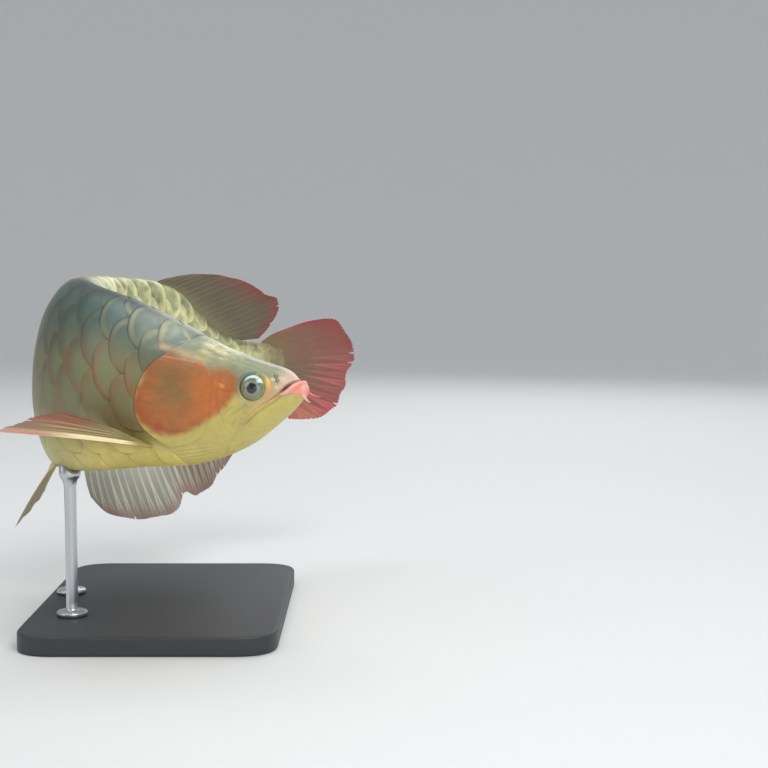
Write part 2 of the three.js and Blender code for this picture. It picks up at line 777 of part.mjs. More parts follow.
// The trunk parted across its length by thin upright cuts
const TRUNK_NAMES = ["trunk_front", "trunk_middle", "trunk_rear", "tail_stalk"];
const cutTrunk = TRUNK_CUTS.reduce((rest, share) => rest.subtract(slabAt(share, GAP, 130)), body);
const trunkBodies = cutTrunk.decompose();
const trunkLengths = TRUNK_NAMES.map((_, i) => {
  const from = TRUNK_CUTS[i - 1] ?? 0.24;
  const to = TRUNK_CUTS[i] ?? 1;
  const { x, y } = spineAt((from + to) / 2 * LENGTH);
  const off = (solid) => {
    const box = solid.boundingBox();
    return Math.hypot((box.min[0] + box.max[0]) / 2 - x, (box.min[1] + box.max[1]) / 2 - y);
  };
  return trunkBodies.filter((solid) => solid.volume() > 1000).sort((p, q) => off(p) - off(q))[0];
});

// Fins

// A fin from rays. Each ray is a root, a middle and a tip as points; between two rays lies a
// fold of thin skin that ends a little short of their tips. thick gives the half thickness at a
// share of the ray's length for a ray or for skin. Both faces split into triangles alike.
function rayFin({ rays, rows, normal, thick, notch, sway }) {
  const columns = [];
  rays.forEach((ray, i) => {
    columns.push({ ray, solid: true, v: i / (rays.length - 1) });
    if (i === rays.length - 1) return;
    const next = rays[i + 1];
    const between = ray.map((p, k) => p.map((value, axis) => (value + next[k][axis]) / 2));
    const short = 1 - notch * mix(0.6, 1.4, chance(i, rays.length));
    between[2] = between[2].map((value, axis) => mix(between[0][axis], value, short));
    between[1] = between[1].map((value, axis) => mix(between[0][axis], value, mix(1, short, 0.5)));
    columns.push({ ray: between, solid: false, v: (i + 0.5) / (rays.length - 1) });
  });
  const points = [[], []];
  for (const { ray, solid, v } of columns) {
    for (let i = 0; i <= rows; i++) {
      const w = i / rows;
      const at = [0, 1, 2].map((axis) => (1 - w) * (1 - w) * ray[0][axis]
        + 2 * w * (1 - w) * ray[1][axis] + w * w * ray[2][axis]);
      const wave = sway(w, v);
      const half = thick(w, v, solid);
      points[0].push(at.map((value, axis) => value + normal[axis] * (wave + half)));
      points[1].push(at.map((value, axis) => value + normal[axis] * (wave - half)));
    }
  }
  const back = points[0].length;
  const id = (column, row) => column * (rows + 1) + row;
  const triangles = [];
  for (let c = 0; c < columns.length - 1; c++) {
    for (let i = 0; i < rows; i++) {
      const [a, b, d, e] = [id(c, i), id(c + 1, i), id(c + 1, i + 1), id(c, i + 1)];
      const split = c % 2 ? [[a, b, d], [a, d, e]] : [[a, b, e], [b, d, e]];
      for (const [p, q, r] of split) triangles.push([p, q, r], [p + back, r + back, q + back]);
    }
  }
  const edge = [];
  for (let c = 0; c < columns.length; c++) edge.push(id(c, 0));
  for (let i = 1; i <= rows; i++) edge.push(id(columns.length - 1, i));
  for (let c = columns.length - 2; c >= 0; c--) edge.push(id(c, rows));
  for (let i = rows - 1; i >= 1; i--) edge.push(id(0, i));
  edge.forEach((a, i) => {
    const b = edge[(i + 1) % edge.length];
    triangles.push([a, a + back, b], [b, a + back, b + back]);
  });
  return solidFrom(points.flat(), triangles);
}

// Rays of a middle fin between two edges of the body and a tip line, in shares
function middleRays({ count, from, to, rootAt, tips, lean, jag }) {
  const tipLine = new THREE.SplineCurve(tips.map(([, x, z]) => new THREE.Vector2(x, z)));
  const knots = tips.map(([v]) => v);
  return Array.from({ length: count }, (_, i) => {
    const v = i / (count - 1);
    let k = 0;
    while (k < knots.length - 2 && v > knots[k + 1]) k++;
    const t = (k + (v - knots[k]) / (knots[k + 1] - knots[k])) / (knots.length - 1);
    const end = tipLine.getPoint(clamp01(t));
    const [rs, rz] = rootAt(mix(from, to, v));
    const reach = 1 + jag * (chance(i, count + 5) - 0.5);
    const tip = [mix(rs, end.x, reach), mix(rz, end.y, reach)];
    const middle = [mix(rs, tip[0], 0.5) + lean[0] * (1 - v), mix(rz, tip[1], 0.5) + lean[1] * (1 - v)];
    return [[rs, rz], middle, tip].map(([x, z]) => [x * LENGTH, 0, z * LENGTH]);
  });
}

const finSunk = 0.007;
const dorsalRays = middleRays({
  count: 17,
  from: DORSAL_FROM,
  to: DORSAL_TO,
  rootAt: (s) => [s, backAt(s) - finSunk],
  tips: [
    [0, 0.768, 0.0880], [0.1, 0.808, 0.0965], [0.25, 0.862, 0.0995], [0.45, 0.920, 0.0925],
    [0.62, 0.962, 0.0760], [0.77, 0.997, 0.0670], [0.87, 1.003, 0.0440], [0.94, 0.990, 0.0160],
    [1, 0.968, -0.0070],
  ],
  lean: [-0.004, 0.004],
  jag: 0.05,
});
const analRays = middleRays({
  count: 23,
  from: ANAL_FROM,
  to: ANAL_TO,
  rootAt: (s) => [s, bellyAt(s) + finSunk],
  tips: [
    [0, 0.652, -0.2980], [0.08, 0.695, -0.3270], [0.18, 0.745, -0.3390], [0.3, 0.793, -0.3370],
    [0.42, 0.834, -0.3210], [0.5, 0.846, -0.2900], [0.58, 0.874, -0.2960], [0.7, 0.908, -0.2740],
    [0.84, 0.936, -0.2440], [0.93, 0.953, -0.2180], [1, 0.960, -0.1940],
  ],
  lean: [-0.010, -0.003],
  jag: 0.05,
});
// The tail fin's rays fan out from the upright end of the stalk, the first few from its back
const caudalRays = middleRays({
  count: 16,
  from: -0.10,
  to: 1,
  rootAt: (v) => {
    const ahead = Math.max(0, -v);
    const s = 0.9975 - 0.30 * ahead;
    return [s, mix(backAt(s) - 0.0030, bellyAt(s) + 0.0015, Math.max(0, v))];
  },
  tips: [
    [0, 1.030, 0.0140], [0.08, 1.090, 0.0350], [0.18, 1.152, 0.0398], [0.29, 1.184, 0.0140],
    [0.42, 1.209, -0.0250], [0.56, 1.190, -0.0640], [0.70, 1.182, -0.1000], [0.82, 1.166, -0.1290],
    [0.91, 1.130, -0.1470], [1, 1.066, -0.1540],
  ],
  lean: [-0.003, 0.010],
  jag: 0.04,
});
// Outer rays arch away from the middle of the tail.
for (const ray of caudalRays) ray[1][2] += (ray[2][2] + 0.0525 * LENGTH) * 0.05;

const middleThick = (root, tip, skin) => (w, v, solid) => {
  const bone = mix(root, tip, Math.pow(w, 0.6));
  return Math.max(solid ? bone : bone * skin, 0.32);
};
const flap = (size, turns) => (w, v) => size * w * w * Math.sin(turns * Math.PI * v + 0.6);

const dorsalFin = bent(rayFin({
  rays: dorsalRays,
  rows: 5,
  normal: [0, 1, 0],
  thick: middleThick(2.3, 0.55, 0.5),
  notch: 0.045,
  sway: flap(3.5, 2.2),
}));
const analFin = bent(rayFin({
  rays: analRays,
  rows: 5,
  normal: [0, 1, 0],
  thick: middleThick(2.3, 0.55, 0.5),
  notch: 0.045,
  sway: flap(4, 2.6),
}));
const caudalFin = bent(rayFin({
  rays: caudalRays,
  rows: 7,
  normal: [0, 1, 0],
  thick: (w, v, solid) => {
    const edgeOff = Math.sqrt(Math.max(0.08, 1 - Math.pow(2 * v - 1, 2)));
    const flesh = halfWidthAt(1) * LENGTH * 0.78 * edgeOff * Math.pow(1 - smooth(0, 0.32, w), 1.5);
    const bone = mix(1.5, 0.55, Math.sqrt(w));
    return Math.max(flesh, solid ? bone : Math.max(0.32, 0.5 * bone));
  },
  notch: 0.04,
  sway: flap(4, 1.7),
}));

// A paired fin, spread from a root on the flank. first and last are the ways its front and
// rear rays point, in the straight fish's directions; chord is the width of its root.
function pairedFin(sizes) {
  const { side, root, chord, count, rows, first, last, long, short, curl, thick, notch, droop } = sizes;
  const e1 = new THREE.Vector3(...first).normalize();
  const e2 = new THREE.Vector3(...last).normalize();
  const normal = e1.clone().cross(e2).normalize();
  const alongRoot = e2.clone().sub(e1.clone().multiplyScalar(e1.dot(e2))).normalize();
  const rays = Array.from({ length: count }, (_, i) => {
    const v = i / (count - 1);
    const way = e1.clone().multiplyScalar(1 - v).addScaledVector(e2, v).normalize();
    const reach = mix(long, short, Math.pow(v, 0.8)) * (1 + 0.04 * (chance(i, count) - 0.5));
    const start = new THREE.Vector3(...root).addScaledVector(alongRoot, chord * (v - 0.5));
    const middle = start.clone().addScaledVector(way, reach * 0.5)
      .addScaledVector(alongRoot, -curl * reach);
    const tip = start.clone().addScaledVector(way, reach).addScaledVector(alongRoot, curl * reach * 0.6);
    return [start, middle, tip].map((p) => [p.x, side * p.y, p.z]);
  });
  const straight = rayFin({
    rays,
    rows,
    normal: [normal.x, side * normal.y, normal.z],
    thick,
    notch,
    sway: (w, v) => droop * w * w * (1 - 0.45 * v) * (1 + 0.25 * Math.sin(5 * v)),
  });
  return moved(straight, (p) => carriedPoint(p, root[0]));
}

const pairedThick = (root, bone, skin) => (w, v, solid) => {
  const flesh = root * Math.pow(1 - smooth(0, 0.2, w), 1.5);
  const ray = mix(bone * (1 - 0.45 * v), 0.5, Math.pow(w, 0.8));
  return Math.max(flesh, solid ? ray : Math.max(0.32, ray * skin));
};
const PECTORAL = { s: 0.226, z: -0.131 };
const pectoralRoot = [
  PECTORAL.s * LENGTH,
  flankAt(PECTORAL.s, PECTORAL.z * LENGTH) - 3.5,
  PECTORAL.z * LENGTH,
];
const pectoral = (side) => pairedFin({
  side,
  root: pectoralRoot,
  chord: 19,
  count: 8,
  rows: 7,
  first: side > 0 ? [0.42, 0.90, 0.150] : [0.62, 0.75, -0.16],
  last: side > 0 ? [0.86, 0.46, 0.26] : [0.93, 0.30, -0.16],
  long: side > 0 ? 136 : 138,
  short: side > 0 ? 60 : 52,
  curl: side > 0 ? 0.08 : 0.045,
  thick: pairedThick(2.5, 1.7, 0.4),
  notch: 0.05,
  droop: side > 0 ? 15 : -8,
});
const PELVIC = { s: 0.452, z: -0.2130 };
const pelvicRoot = [PELVIC.s * LENGTH, flankAt(PELVIC.s, PELVIC.z * LENGTH) - 2.6, PELVIC.z * LENGTH];
const pelvic = (side) => pairedFin({
  side,
  root: pelvicRoot,
  chord: 13,
  count: 6,
  rows: 6,
  first: side > 0 ? [0.30, 0.36, -0.88] : [0.90, 0.34, -0.26],
  last: side > 0 ? [0.60, 0.14, -0.78] : [0.96, 0.26, -0.06],
  long: 70,
  short: 42,
  curl: side > 0 ? 0.09 : 0.03,
  thick: pairedThick(2.6, 1.5, 0.45),
  notch: 0.06,
  droop: side > 0 ? 2 : -1.5,
});

// A part with its root cut back to just off the body, measured the way the part grows
function offBody(part, away, from = body) {
  const size = Math.hypot(...away);
  const shift = (by) => from.translate(away.map((value) => value / size * by));
  return largest(part.subtract(shift(GAP)).subtract(shift(GAP / 2)));
}
function growthWay(side, root, way) {
  const a = carriedPoint([root, 0, 0], root);
  const b = carriedPoint([root + way[0], side * way[1], way[2]], root);
  return b.map((value, axis) => value - a[axis]);
}

// Barbels

function barbel(side) {
  const { z, reach } = side > 0 ? BARBEL_RIGHT : BARBEL_LEFT;
  const root = [-0.0030 * LENGTH, side * 3.4, z * LENGTH];
  const far = [root[0] - reach[0], root[1] + side * reach[1], root[2] + reach[2]];
  const sunkRoot = [root[0] + 3, root[1] - side * 1.5, root[2] + 2];
  const halfWay = root.map((value, axis) => (value + far[axis]) / 2 - (axis === 2 ? 0.8 : 0));
  const curve = new THREE.CatmullRomCurve3(
    [sunkRoot, root, halfWay, far].map((p) => new THREE.Vector3(...p)),
  );
  const points = curve.getPoints(9).map((p) => [p.x, p.y, p.z]);
  const radii = points.map((_, i) => mix(BARBEL_RADIUS, BARBEL_TIP_RADIUS, i / 9));
  const straight = tube(points, radii, 8);
  return offBody(bent(straight), growthWay(side, 0, [-1, 0.3, -0.3]), bentJaw);
}

// Whole fish, tipped and set over the stand

const fish = new THREE.Group();
fish.name = "fish";
fish.rotation.set(radians(TIP_SIDE), radians(TIP_DOWN), 0, "XYZ");
fish.position.set(...SNOUT_AT);
fish.updateMatrixWorld(true);

// Stand

function baseGeometry() {
  const w = BASE_WIDE / 2 - BASE_EDGE;
  const d = BASE_DEEP / 2 - BASE_EDGE;
  const r = BASE_CORNER;
  const shape = new THREE.Shape();
  shape.moveTo(-w + r, -d);
  shape.lineTo(w - r, -d);
  shape.quadraticCurveTo(w, -d, w, -d + r);
  shape.lineTo(w, d - r);
  shape.quadraticCurveTo(w, d, w - r, d);
  shape.lineTo(-w + r, d);
  shape.quadraticCurveTo(-w, d, -w, d - r);
  shape.lineTo(-w, -d + r);
  shape.quadraticCurveTo(-w, -d, -w + r, -d);
  const g = new THREE.ExtrudeGeometry(shape, {
    depth: BASE_HIGH - 2 * BASE_EDGE,
    bevelThickness: BASE_EDGE,
    bevelSize: BASE_EDGE,
    bevelSegments: 1,
    curveSegments: 7,
  });
  g.translate(0, 0, BASE_EDGE);
  return g;
}

// A rod with a foot and a small cup that fits under the belly at a share of the length
function rod(share) {
  const under = new THREE.Vector3(...bentPoint([share * LENGTH, 0, bellyAt(share) * LENGTH]))
    .applyMatrix4(fish.matrixWorld);
  const foot = BASE_HIGH + GAP;
  const high = under.z - foot + 4;
  const profile = [
    [0, 0], [ROD_FOOT_RADIUS, 0], [ROD_FOOT_RADIUS, ROD_FOOT_HIGH - 1],
    [ROD_FOOT_RADIUS - 1, ROD_FOOT_HIGH], [ROD_RADIUS, ROD_FOOT_HIGH],
    [ROD_RADIUS, high - 4 - ROD_CUP_HIGH], [ROD_CUP_RADIUS, high - 4], [ROD_CUP_RADIUS, high], [0, high],
  ].map(([x, y]) => new THREE.Vector2(x, y));
  const g = new THREE.LatheGeometry(profile, 16);
  g.rotateX(Math.PI / 2);
  g.translate(under.x, under.y, foot);
  const worldBody = moved(body, (p) => new THREE.Vector3(...p).applyMatrix4(fish.matrixWorld).toArray());
  return { solid: offBody(solidOf(g), [0, 0, -1], worldBody), at: [under.x, under.y, foot] };
}
const rodFront = rod(ROD_FRONT_AT);
const rodRear = rod(ROD_REAR_AT);

// Named parts

const COLOURS = {
  head: [0xa9925c, 0.42, 0.05],
  jaw: [0xc9a767, 0.45, 0.0],
  gill: [0xc0642f, 0.38, 0.05],
  trunk: [0x9c9160, 0.36, 0.1],
  eye: [0x8c9a86, 0.12, 0.0],
  barbel: [0xdc8a7c, 0.5, 0.0],
  dorsal: [0x8d5b3b, 0.45, 0.0],
  anal: [0xe3d3bd, 0.45, 0.0],
  caudal: [0xa8463c, 0.45, 0.0],
  pectoral: [0xd09470, 0.45, 0.0],
  pelvic: [0xc2b06c, 0.45, 0.0],
  base: [0x2b2c2f, 0.55, 0.0],
  rod: [0xb9bdc1, 0.3, 1.0],
};

// A named mesh whose own origin is its root
function meshOf(name, solid, colour, root) {
  const { points, triangles } = facesOf(solid);
  const g = new THREE.BufferGeometry();
  g.setAttribute("position", new THREE.Float32BufferAttribute(points.flat(), 3));
  g.setIndex(triangles.flat());
  g.translate(-root[0], -root[1], -root[2]);
  g.computeVertexNormals();
  const [color, roughness, metalness] = COLOURS[colour];
  const mesh = new THREE.Mesh(g, new THREE.MeshStandardMaterial({ color, roughness, metalness }));
  mesh.name = name;
  mesh.position.set(...root);
  return mesh;
}

const onSpine = (s, z) => bentPoint([s * LENGTH, 0, z * LENGTH]);
fish.add(meshOf("head", bentHead, "head", onSpine(0.1, -0.04)));
fish.add(meshOf("lower_jaw", bentJaw, "jaw", onSpine(0.08, -0.09)));
fish.add(meshOf("gill_cover_right", bent(gillRight), "gill", bentPoint([0.12 * LENGTH, 26, -30])));
fish.add(meshOf("gill_cover_left", bent(gillLeft), "gill", bentPoint([0.12 * LENGTH, -26, -30])));
for (const [name, side] of [["right", 1], ["left", -1]]) {
  const at = bentPoint([EYE_AT[0] * LENGTH, side * (eyeAcross - EYE_MIDDLE_IN), eyeLevel]);
  fish.add(meshOf(`eye_${name}`, bent(eyeBall(side, 0)), "eye", at));
  fish.add(meshOf(`barbel_${name}`, barbel(side), "barbel", bentPoint([-2, side * 3.4, -12])));
}
TRUNK_NAMES.forEach((name, i) => {
  fish.add(meshOf(name, trunkLengths[i], "trunk", onSpine(TRUNK_CUTS[i - 1] ?? 0.2, -0.06)));
});
fish.add(meshOf("dorsal_fin", offBody(dorsalFin, [0, 0, 1]), "dorsal", onSpine(DORSAL_FROM, 0.078)));
fish.add(meshOf("anal_fin", offBody(analFin, [0, 0, -1]), "anal", onSpine(ANAL_FROM, -0.21)));
const caudalOff = [0.7, -0.7].reduce(
  (fin, up) => offBody(fin, growthWay(1, LENGTH, [1, 0, up])),
  caudalFin.subtract(body),
);
fish.add(meshOf("caudal_fin", caudalOff, "caudal", onSpine(1, -0.05)));
for (const [name, side] of [["right", 1], ["left", -1]]) {
  const pectoralWay = growthWay(side, pectoralRoot[0], [0.45, 0.85, -0.05]);
  const pelvicWay = growthWay(side, pelvicRoot[0], [0.5, 0.45, -0.6]);
  fish.add(meshOf(
    `pectoral_fin_${name}`,
    offBody(pectoral(side), pectoralWay),
    "pectoral",
    bentPoint([pectoralRoot[0], side * pectoralRoot[1], pectoralRoot[2]]),
  ));
  fish.add(meshOf(
    `pelvic_fin_${name}`,
    offBody(pelvic(side), pelvicWay),
    "pelvic",
    bentPoint([pelvicRoot[0], side * pelvicRoot[1], pelvicRoot[2]]),
  ));
}

const model = new THREE.Group();
model.name = "asian_arowana";
model.add(fish);
model.add(meshOf("stand_base", solidOf(baseGeometry()), "base", [0, 0, 0]));
model.add(meshOf("stand_rod_front", rodFront.solid, "rod", rodFront.at));
model.add(meshOf("stand_rod_rear", rodRear.solid, "rod", rodRear.at));

export default model;
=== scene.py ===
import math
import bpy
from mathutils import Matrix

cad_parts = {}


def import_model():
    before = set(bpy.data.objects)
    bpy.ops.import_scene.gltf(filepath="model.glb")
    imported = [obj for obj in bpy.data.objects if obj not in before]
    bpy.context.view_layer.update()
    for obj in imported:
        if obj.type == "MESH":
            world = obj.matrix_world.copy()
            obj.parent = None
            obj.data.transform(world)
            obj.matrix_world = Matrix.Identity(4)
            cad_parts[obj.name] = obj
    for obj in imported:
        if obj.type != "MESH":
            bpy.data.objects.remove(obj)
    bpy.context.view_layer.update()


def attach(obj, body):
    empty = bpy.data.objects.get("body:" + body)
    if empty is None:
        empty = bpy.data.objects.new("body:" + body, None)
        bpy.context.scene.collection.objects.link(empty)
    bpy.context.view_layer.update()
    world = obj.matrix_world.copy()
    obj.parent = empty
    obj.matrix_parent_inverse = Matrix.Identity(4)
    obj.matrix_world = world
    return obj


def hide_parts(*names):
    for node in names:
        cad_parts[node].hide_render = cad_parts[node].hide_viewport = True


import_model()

# An Asian arowana at life size, turning to its left, on a plain display stand.
#
# As in the solids, the fish is shaped straight first, in millimetres: x runs tailward from
# the snout, y to the fish's right, z up. It is then bent along its spine, tipped as a whole
# and set over the stand. World units are metres.

from types import SimpleNamespace

import bpy
import numpy as np
from mathutils import Vector

# Main sizes, the same as in the solids

LENGTH = 550.0
GAP = 0.35
HEAD_TURN = 23.64
BODY_TURN = 113.4
BEND_FROM = 0.204
BEND_TO = 0.771
TIP_DOWN = 8.57
TIP_SIDE = 0.63
SNOUT_AT = (134.6, -180.0, 226.6)

# Share of length, back, belly, half width, how square the section is above and below
STATIONS = np.array([
    [-0.0070, -0.0150, -0.0175, 0.0008, 2.0, 2.0],
    [-0.0054, -0.0105, -0.0225, 0.0062, 2.0, 2.0],
    [-0.0020, -0.0070, -0.0280, 0.0098, 2.1, 2.0],
    [0.004, -0.0048, -0.0355, 0.0145, 2.2, 2.0],
    [0.0085, -0.0010, -0.0410, 0.0175, 2.3, 2.0],
    [0.014, 0.0032, -0.0480, 0.0210, 2.4, 2.0],
    [0.028, 0.0078, -0.064, 0.0285, 2.5, 1.9],
    [0.066, 0.012, -0.103, 0.040, 2.6, 1.9],
    [0.114, 0.019, -0.1345, 0.049, 2.5, 1.9],
    [0.170, 0.0320, -0.1575, 0.055, 2.3, 1.9],
    [0.235, 0.0508, -0.1725, 0.060, 2.1, 1.9],
    [0.330, 0.0685, -0.1985, 0.062, 2.1, 1.8],
    [0.430, 0.0742, -0.2170, 0.059, 2.1, 1.7],
    [0.540, 0.0768, -0.2230, 0.054, 2.1, 1.6],
    [0.620, 0.0775, -0.2130, 0.049, 2.1, 1.6],
    [0.700, 0.0785, -0.1860, 0.042, 2.1, 1.7],
    [0.760, 0.0685, -0.159, 0.036, 2.0, 1.8],
    [0.820, 0.0330, -0.132, 0.029, 2.0, 1.9],
    [0.880, -0.0015, -0.110, 0.022, 2.0, 2.0],
    [0.940, -0.0128, -0.094, 0.015, 2.0, 2.0],
    [1.000, -0.0135, -0.092, 0.010, 2.0, 2.0],
    [1.140, -0.0135, -0.092, 0.010, 2.0, 2.0],
])
WIDEST_LEVEL = 0.42

# Where the stalk starts to run out over the tail fin, and where it ends
TAPER_FROM = 0.966
TAIL_END = 1.036

# Scale lattice
SCALE_LENGTH_FRONT = 0.048
SCALE_LENGTH_REAR = 0.030
LATTICE_START = 0.2816
COLUMN_LEAN = 0.009
ROW_CLOSING = [1, 0.75, 0.3, 0, 0.3, 0.75, 1]

# Rear edge of the head, outline of the gill cover, line of the mouth
HEAD_REAR = [
    (0.166, 0.060), (0.172, 0.036), (0.190, 0.014), (0.212, -0.006), (0.230, -0.035),
    (0.2365, -0.070), (0.230, -0.100), (0.206, -0.121), (0.180, -0.136), (0.160, -0.165),
    (0.155, -0.190),
]
GILL_FRONT = [
    (0.205, 0.000), (0.165, 0.001), (0.134, -0.004), (0.121, -0.030), (0.116, -0.065),
    (0.122, -0.098), (0.146, -0.119), (0.180, -0.134),
]
MOUTH = [
    (-0.0020, 0.0140), (0.0020, 0.0045), (0.0060, -0.0020), (0.0100, -0.0058), (0.0145, -0.0105),
    (0.0205, -0.0185), (0.0335, -0.0322), (0.0540, -0.0510), (0.0700, -0.0710),
]
JAW_JOINT = [(0.0700, -0.0710), (0.0830, -0.0930), (0.0990, -0.1180), (0.1120, -0.1600)]

EYE_AT = (0.0645, -0.0225)
EYE_RADIUS = 11.2
EYE_DEPTH_RADIUS = 8.4
EYE_MIDDLE_IN = 5.0
EYE_TURN = 12.0
NOSTRILS = [(0.0350, -0.0010, 1.9), (0.0303, -0.0062, 1.6)]

# Places of the paired fins' roots and of the rods, how deep the roots of the middle fins sit
PECTORAL_AT = (0.226, -0.131)
PELVIC_AT = (0.452, -0.2130)
ROD_FRONT_AT, ROD_REAR_AT = 0.4, 0.565
SUNK = 0.007

# The board of the stand in millimetres
BASE_WIDE, BASE_DEEP, BASE_HIGH, BASE_CORNER, BASE_EDGE = 214.0, 300.0, 16.0, 34.0, 2.0

# Side of the fish and the sign of its y
SIDES = (("right", 1), ("left", -1))

# Shares of length where the front pieces of scales end and where the rear ones do
SCALES_PARTED, SCALES_END = 0.52, 1.026

# Small helpers


def mix(a, b, t):
    return a + (b - a) * t


def smooth(a, b, x):
    t = np.clip((np.asarray(x, float) - a) / (b - a), 0, 1)
    return t * t * (3 - 2 * t)


def bump(x, middle, half):
    """A soft hill of height 1 with the given middle and half width."""
    t = np.clip(1 - ((np.asarray(x, float) - middle) / half) ** 2, 0, 1)
    return t * t


def chance(a, b):
    v = np.sin(np.asarray(a, float) * 127.1 + np.asarray(b, float) * 311.7 + 17.3) * 43758.5453
    return v - np.floor(v)


def linear(r, g, b):
    """An sRGB colour of 0 to 255 as linear light."""
    c = np.array([r, g, b], float) / 255
    return np.where(c <= 0.04045, c / 12.92, ((c + 0.055) / 1.055) ** 2.4)


def lattice_noise(x, y, z, seed=0):
    """Smooth noise from -1 to 1 over a unit lattice."""
    x0, y0, z0 = np.floor(x), np.floor(y), np.floor(z)
    fx, fy, fz = x - x0, y - y0, z - z0
    fx, fy, fz = (f * f * (3 - 2 * f) for f in (fx, fy, fz))
    total = 0
    for dx in (0, 1):
        for dy in (0, 1):
            for dz in (0, 1):
                h = np.sin((x0 + dx) * 127.1 + (y0 + dy) * 311.7 + (z0 + dz) * 74.7 + seed * 53.3)
                h = h * 43758.5453
                h = (h - np.floor(h)) * 2 - 1
                weight = (fx if dx else 1 - fx) * (fy if dy else 1 - fy) * (fz if dz else 1 - fz)
                total = total + h * weight
    return total


def cloudy(points, size, seed=0, octaves=3):
    """Noise of several sizes at points in millimetres."""
    total, strength = 0, 1.0
    for k in range(octaves):
        p = points / size * 2.0 ** k
        total = total + strength * lattice_noise(p[..., 0], p[..., 1], p[..., 2], seed + k)
        strength *= 0.5
    return total / 1.75


class Through:
    """A smooth curve through points that never overshoots."""

    def __init__(self, x, y):
        x, y = np.asarray(x, float), np.asarray(y, float)
        step = np.diff(y) / np.diff(x)
        slope = np.zeros(len(x))
        slope[0], slope[-1] = step[0], step[-1]
        for i in range(1, len(x) - 1):
            if step[i - 1] * step[i] > 0:
                before, after = x[i] - x[i - 1], x[i + 1] - x[i]
                w1, w2 = 2 * after + before, after + 2 * before
                slope[i] = (w1 + w2) / (w1 / step[i - 1] + w2 / step[i])
        self.x, self.y, self.slope = x, y, slope

    def __call__(self, at):
        v = np.clip(np.asarray(at, float), self.x[0], self.x[-1])
        i = np.clip(np.searchsorted(self.x, v) - 1, 0, len(self.x) - 2)
        h = self.x[i + 1] - self.x[i]
        t = (v - self.x[i]) / h
        a = (1 + 2 * t) * (1 - t) ** 2
        b = t * (1 - t) ** 2
        c = t * t * (3 - 2 * t)
        d = t * t * (t - 1)
        return a * self.y[i] + b * h * self.slope[i] + c * self.y[i + 1] + d * h * self.slope[i + 1]


def spline_point(points, t):
    """Catmull-Rom curve through 2-D points, t from 0 to 1."""
    points = np.asarray(points, float)
    n = len(points)
    at = np.clip(np.asarray(t, float), 0, 1) * (n - 1)
    i = np.minimum(np.floor(at).astype(int), n - 2)
    w = (at - i)[..., None]
    p0, p1 = points[np.maximum(i - 1, 0)], points[i]
    p2, p3 = points[i + 1], points[np.minimum(i + 2, n - 1)]
    v0, v1 = (p2 - p0) / 2, (p3 - p1) / 2
    return (2 * p1 - 2 * p2 + v0 + v1) * w ** 3 + (-3 * p1 + 3 * p2 - 2 * v0 - v1) * w ** 2 + v0 * w + p1


def smooth_line(shares, count):
    return spline_point(shares, np.linspace(0, 1, count + 1))


# Straight body

back_at, belly_at, half_at, square_above_at, square_below_at = (
    Through(STATIONS[:, 0], STATIONS[:, k]) for k in range(1, 6)
)


def tail_taper(s):
    """Shares of half width and of height that are left where the stalk runs out."""
    t = np.clip((np.asarray(s, float) - TAPER_FROM) / (TAIL_END - TAPER_FROM), 0, 1)
    return np.sqrt(1 - t ** 2.2), np.sqrt(1 - 0.9 * t ** 5)


def section(s):
    wide, tall = tail_taper(s)
    back, belly = back_at(s) * LENGTH, belly_at(s) * LENGTH
    middle = (back + belly) / 2
    back, belly = mix(middle, back, tall), mix(middle, belly, tall)
    level = mix(back, belly, WIDEST_LEVEL)
    return back, belly, level, half_at(s) * LENGTH * wide, square_above_at(s), square_below_at(s)


def flank(s, z):
    """Half width of the body at a share of length and a height."""
    back, belly, level, half, above, below = section(s)
    up = z > level
    tall = np.where(up, back - level, level - belly)
    v = np.minimum(1, np.abs(z - level) / tall)
    return half * (1 - v ** np.where(up, above, 2)) ** (1 / np.where(up, above, below))


GIRTH_STEPS = 240
TAIL_STEPS = TAPER_FROM + (TAIL_END - TAPER_FROM) * np.sin(np.linspace(0, math.pi / 2, 120))
TABLE_S = np.unique(np.concatenate([
    np.linspace(-0.007, 0.03, 240), np.linspace(0.03, TAPER_FROM, 900), TAIL_STEPS,
]))


def half_section(s):
    back, belly, level, half, above, below = (float(v) for v in section(s))
    turn = np.linspace(0, math.pi, 361)
    up = turn < math.pi / 2
    tall = np.where(up, back - level, level - belly)
    y = half * np.maximum(0, np.sin(turn)) ** (2 / np.where(up, above, below))
    c = np.cos(turn)
    z = level + tall * np.sign(c) * np.abs(c) ** np.where(up, 2 / above, 1)
    along = np.concatenate([[0], np.cumsum(np.hypot(np.diff(y), np.diff(z)))])
    want = np.linspace(0, along[-1], GIRTH_STEPS + 1)
    return np.interp(want, along, y), np.interp(want, along, z)


TABLE = np.array([half_section(s) for s in TABLE_S])


def wrapped(around):
    return np.mod(np.asarray(around, float) + 1, 2) - 1


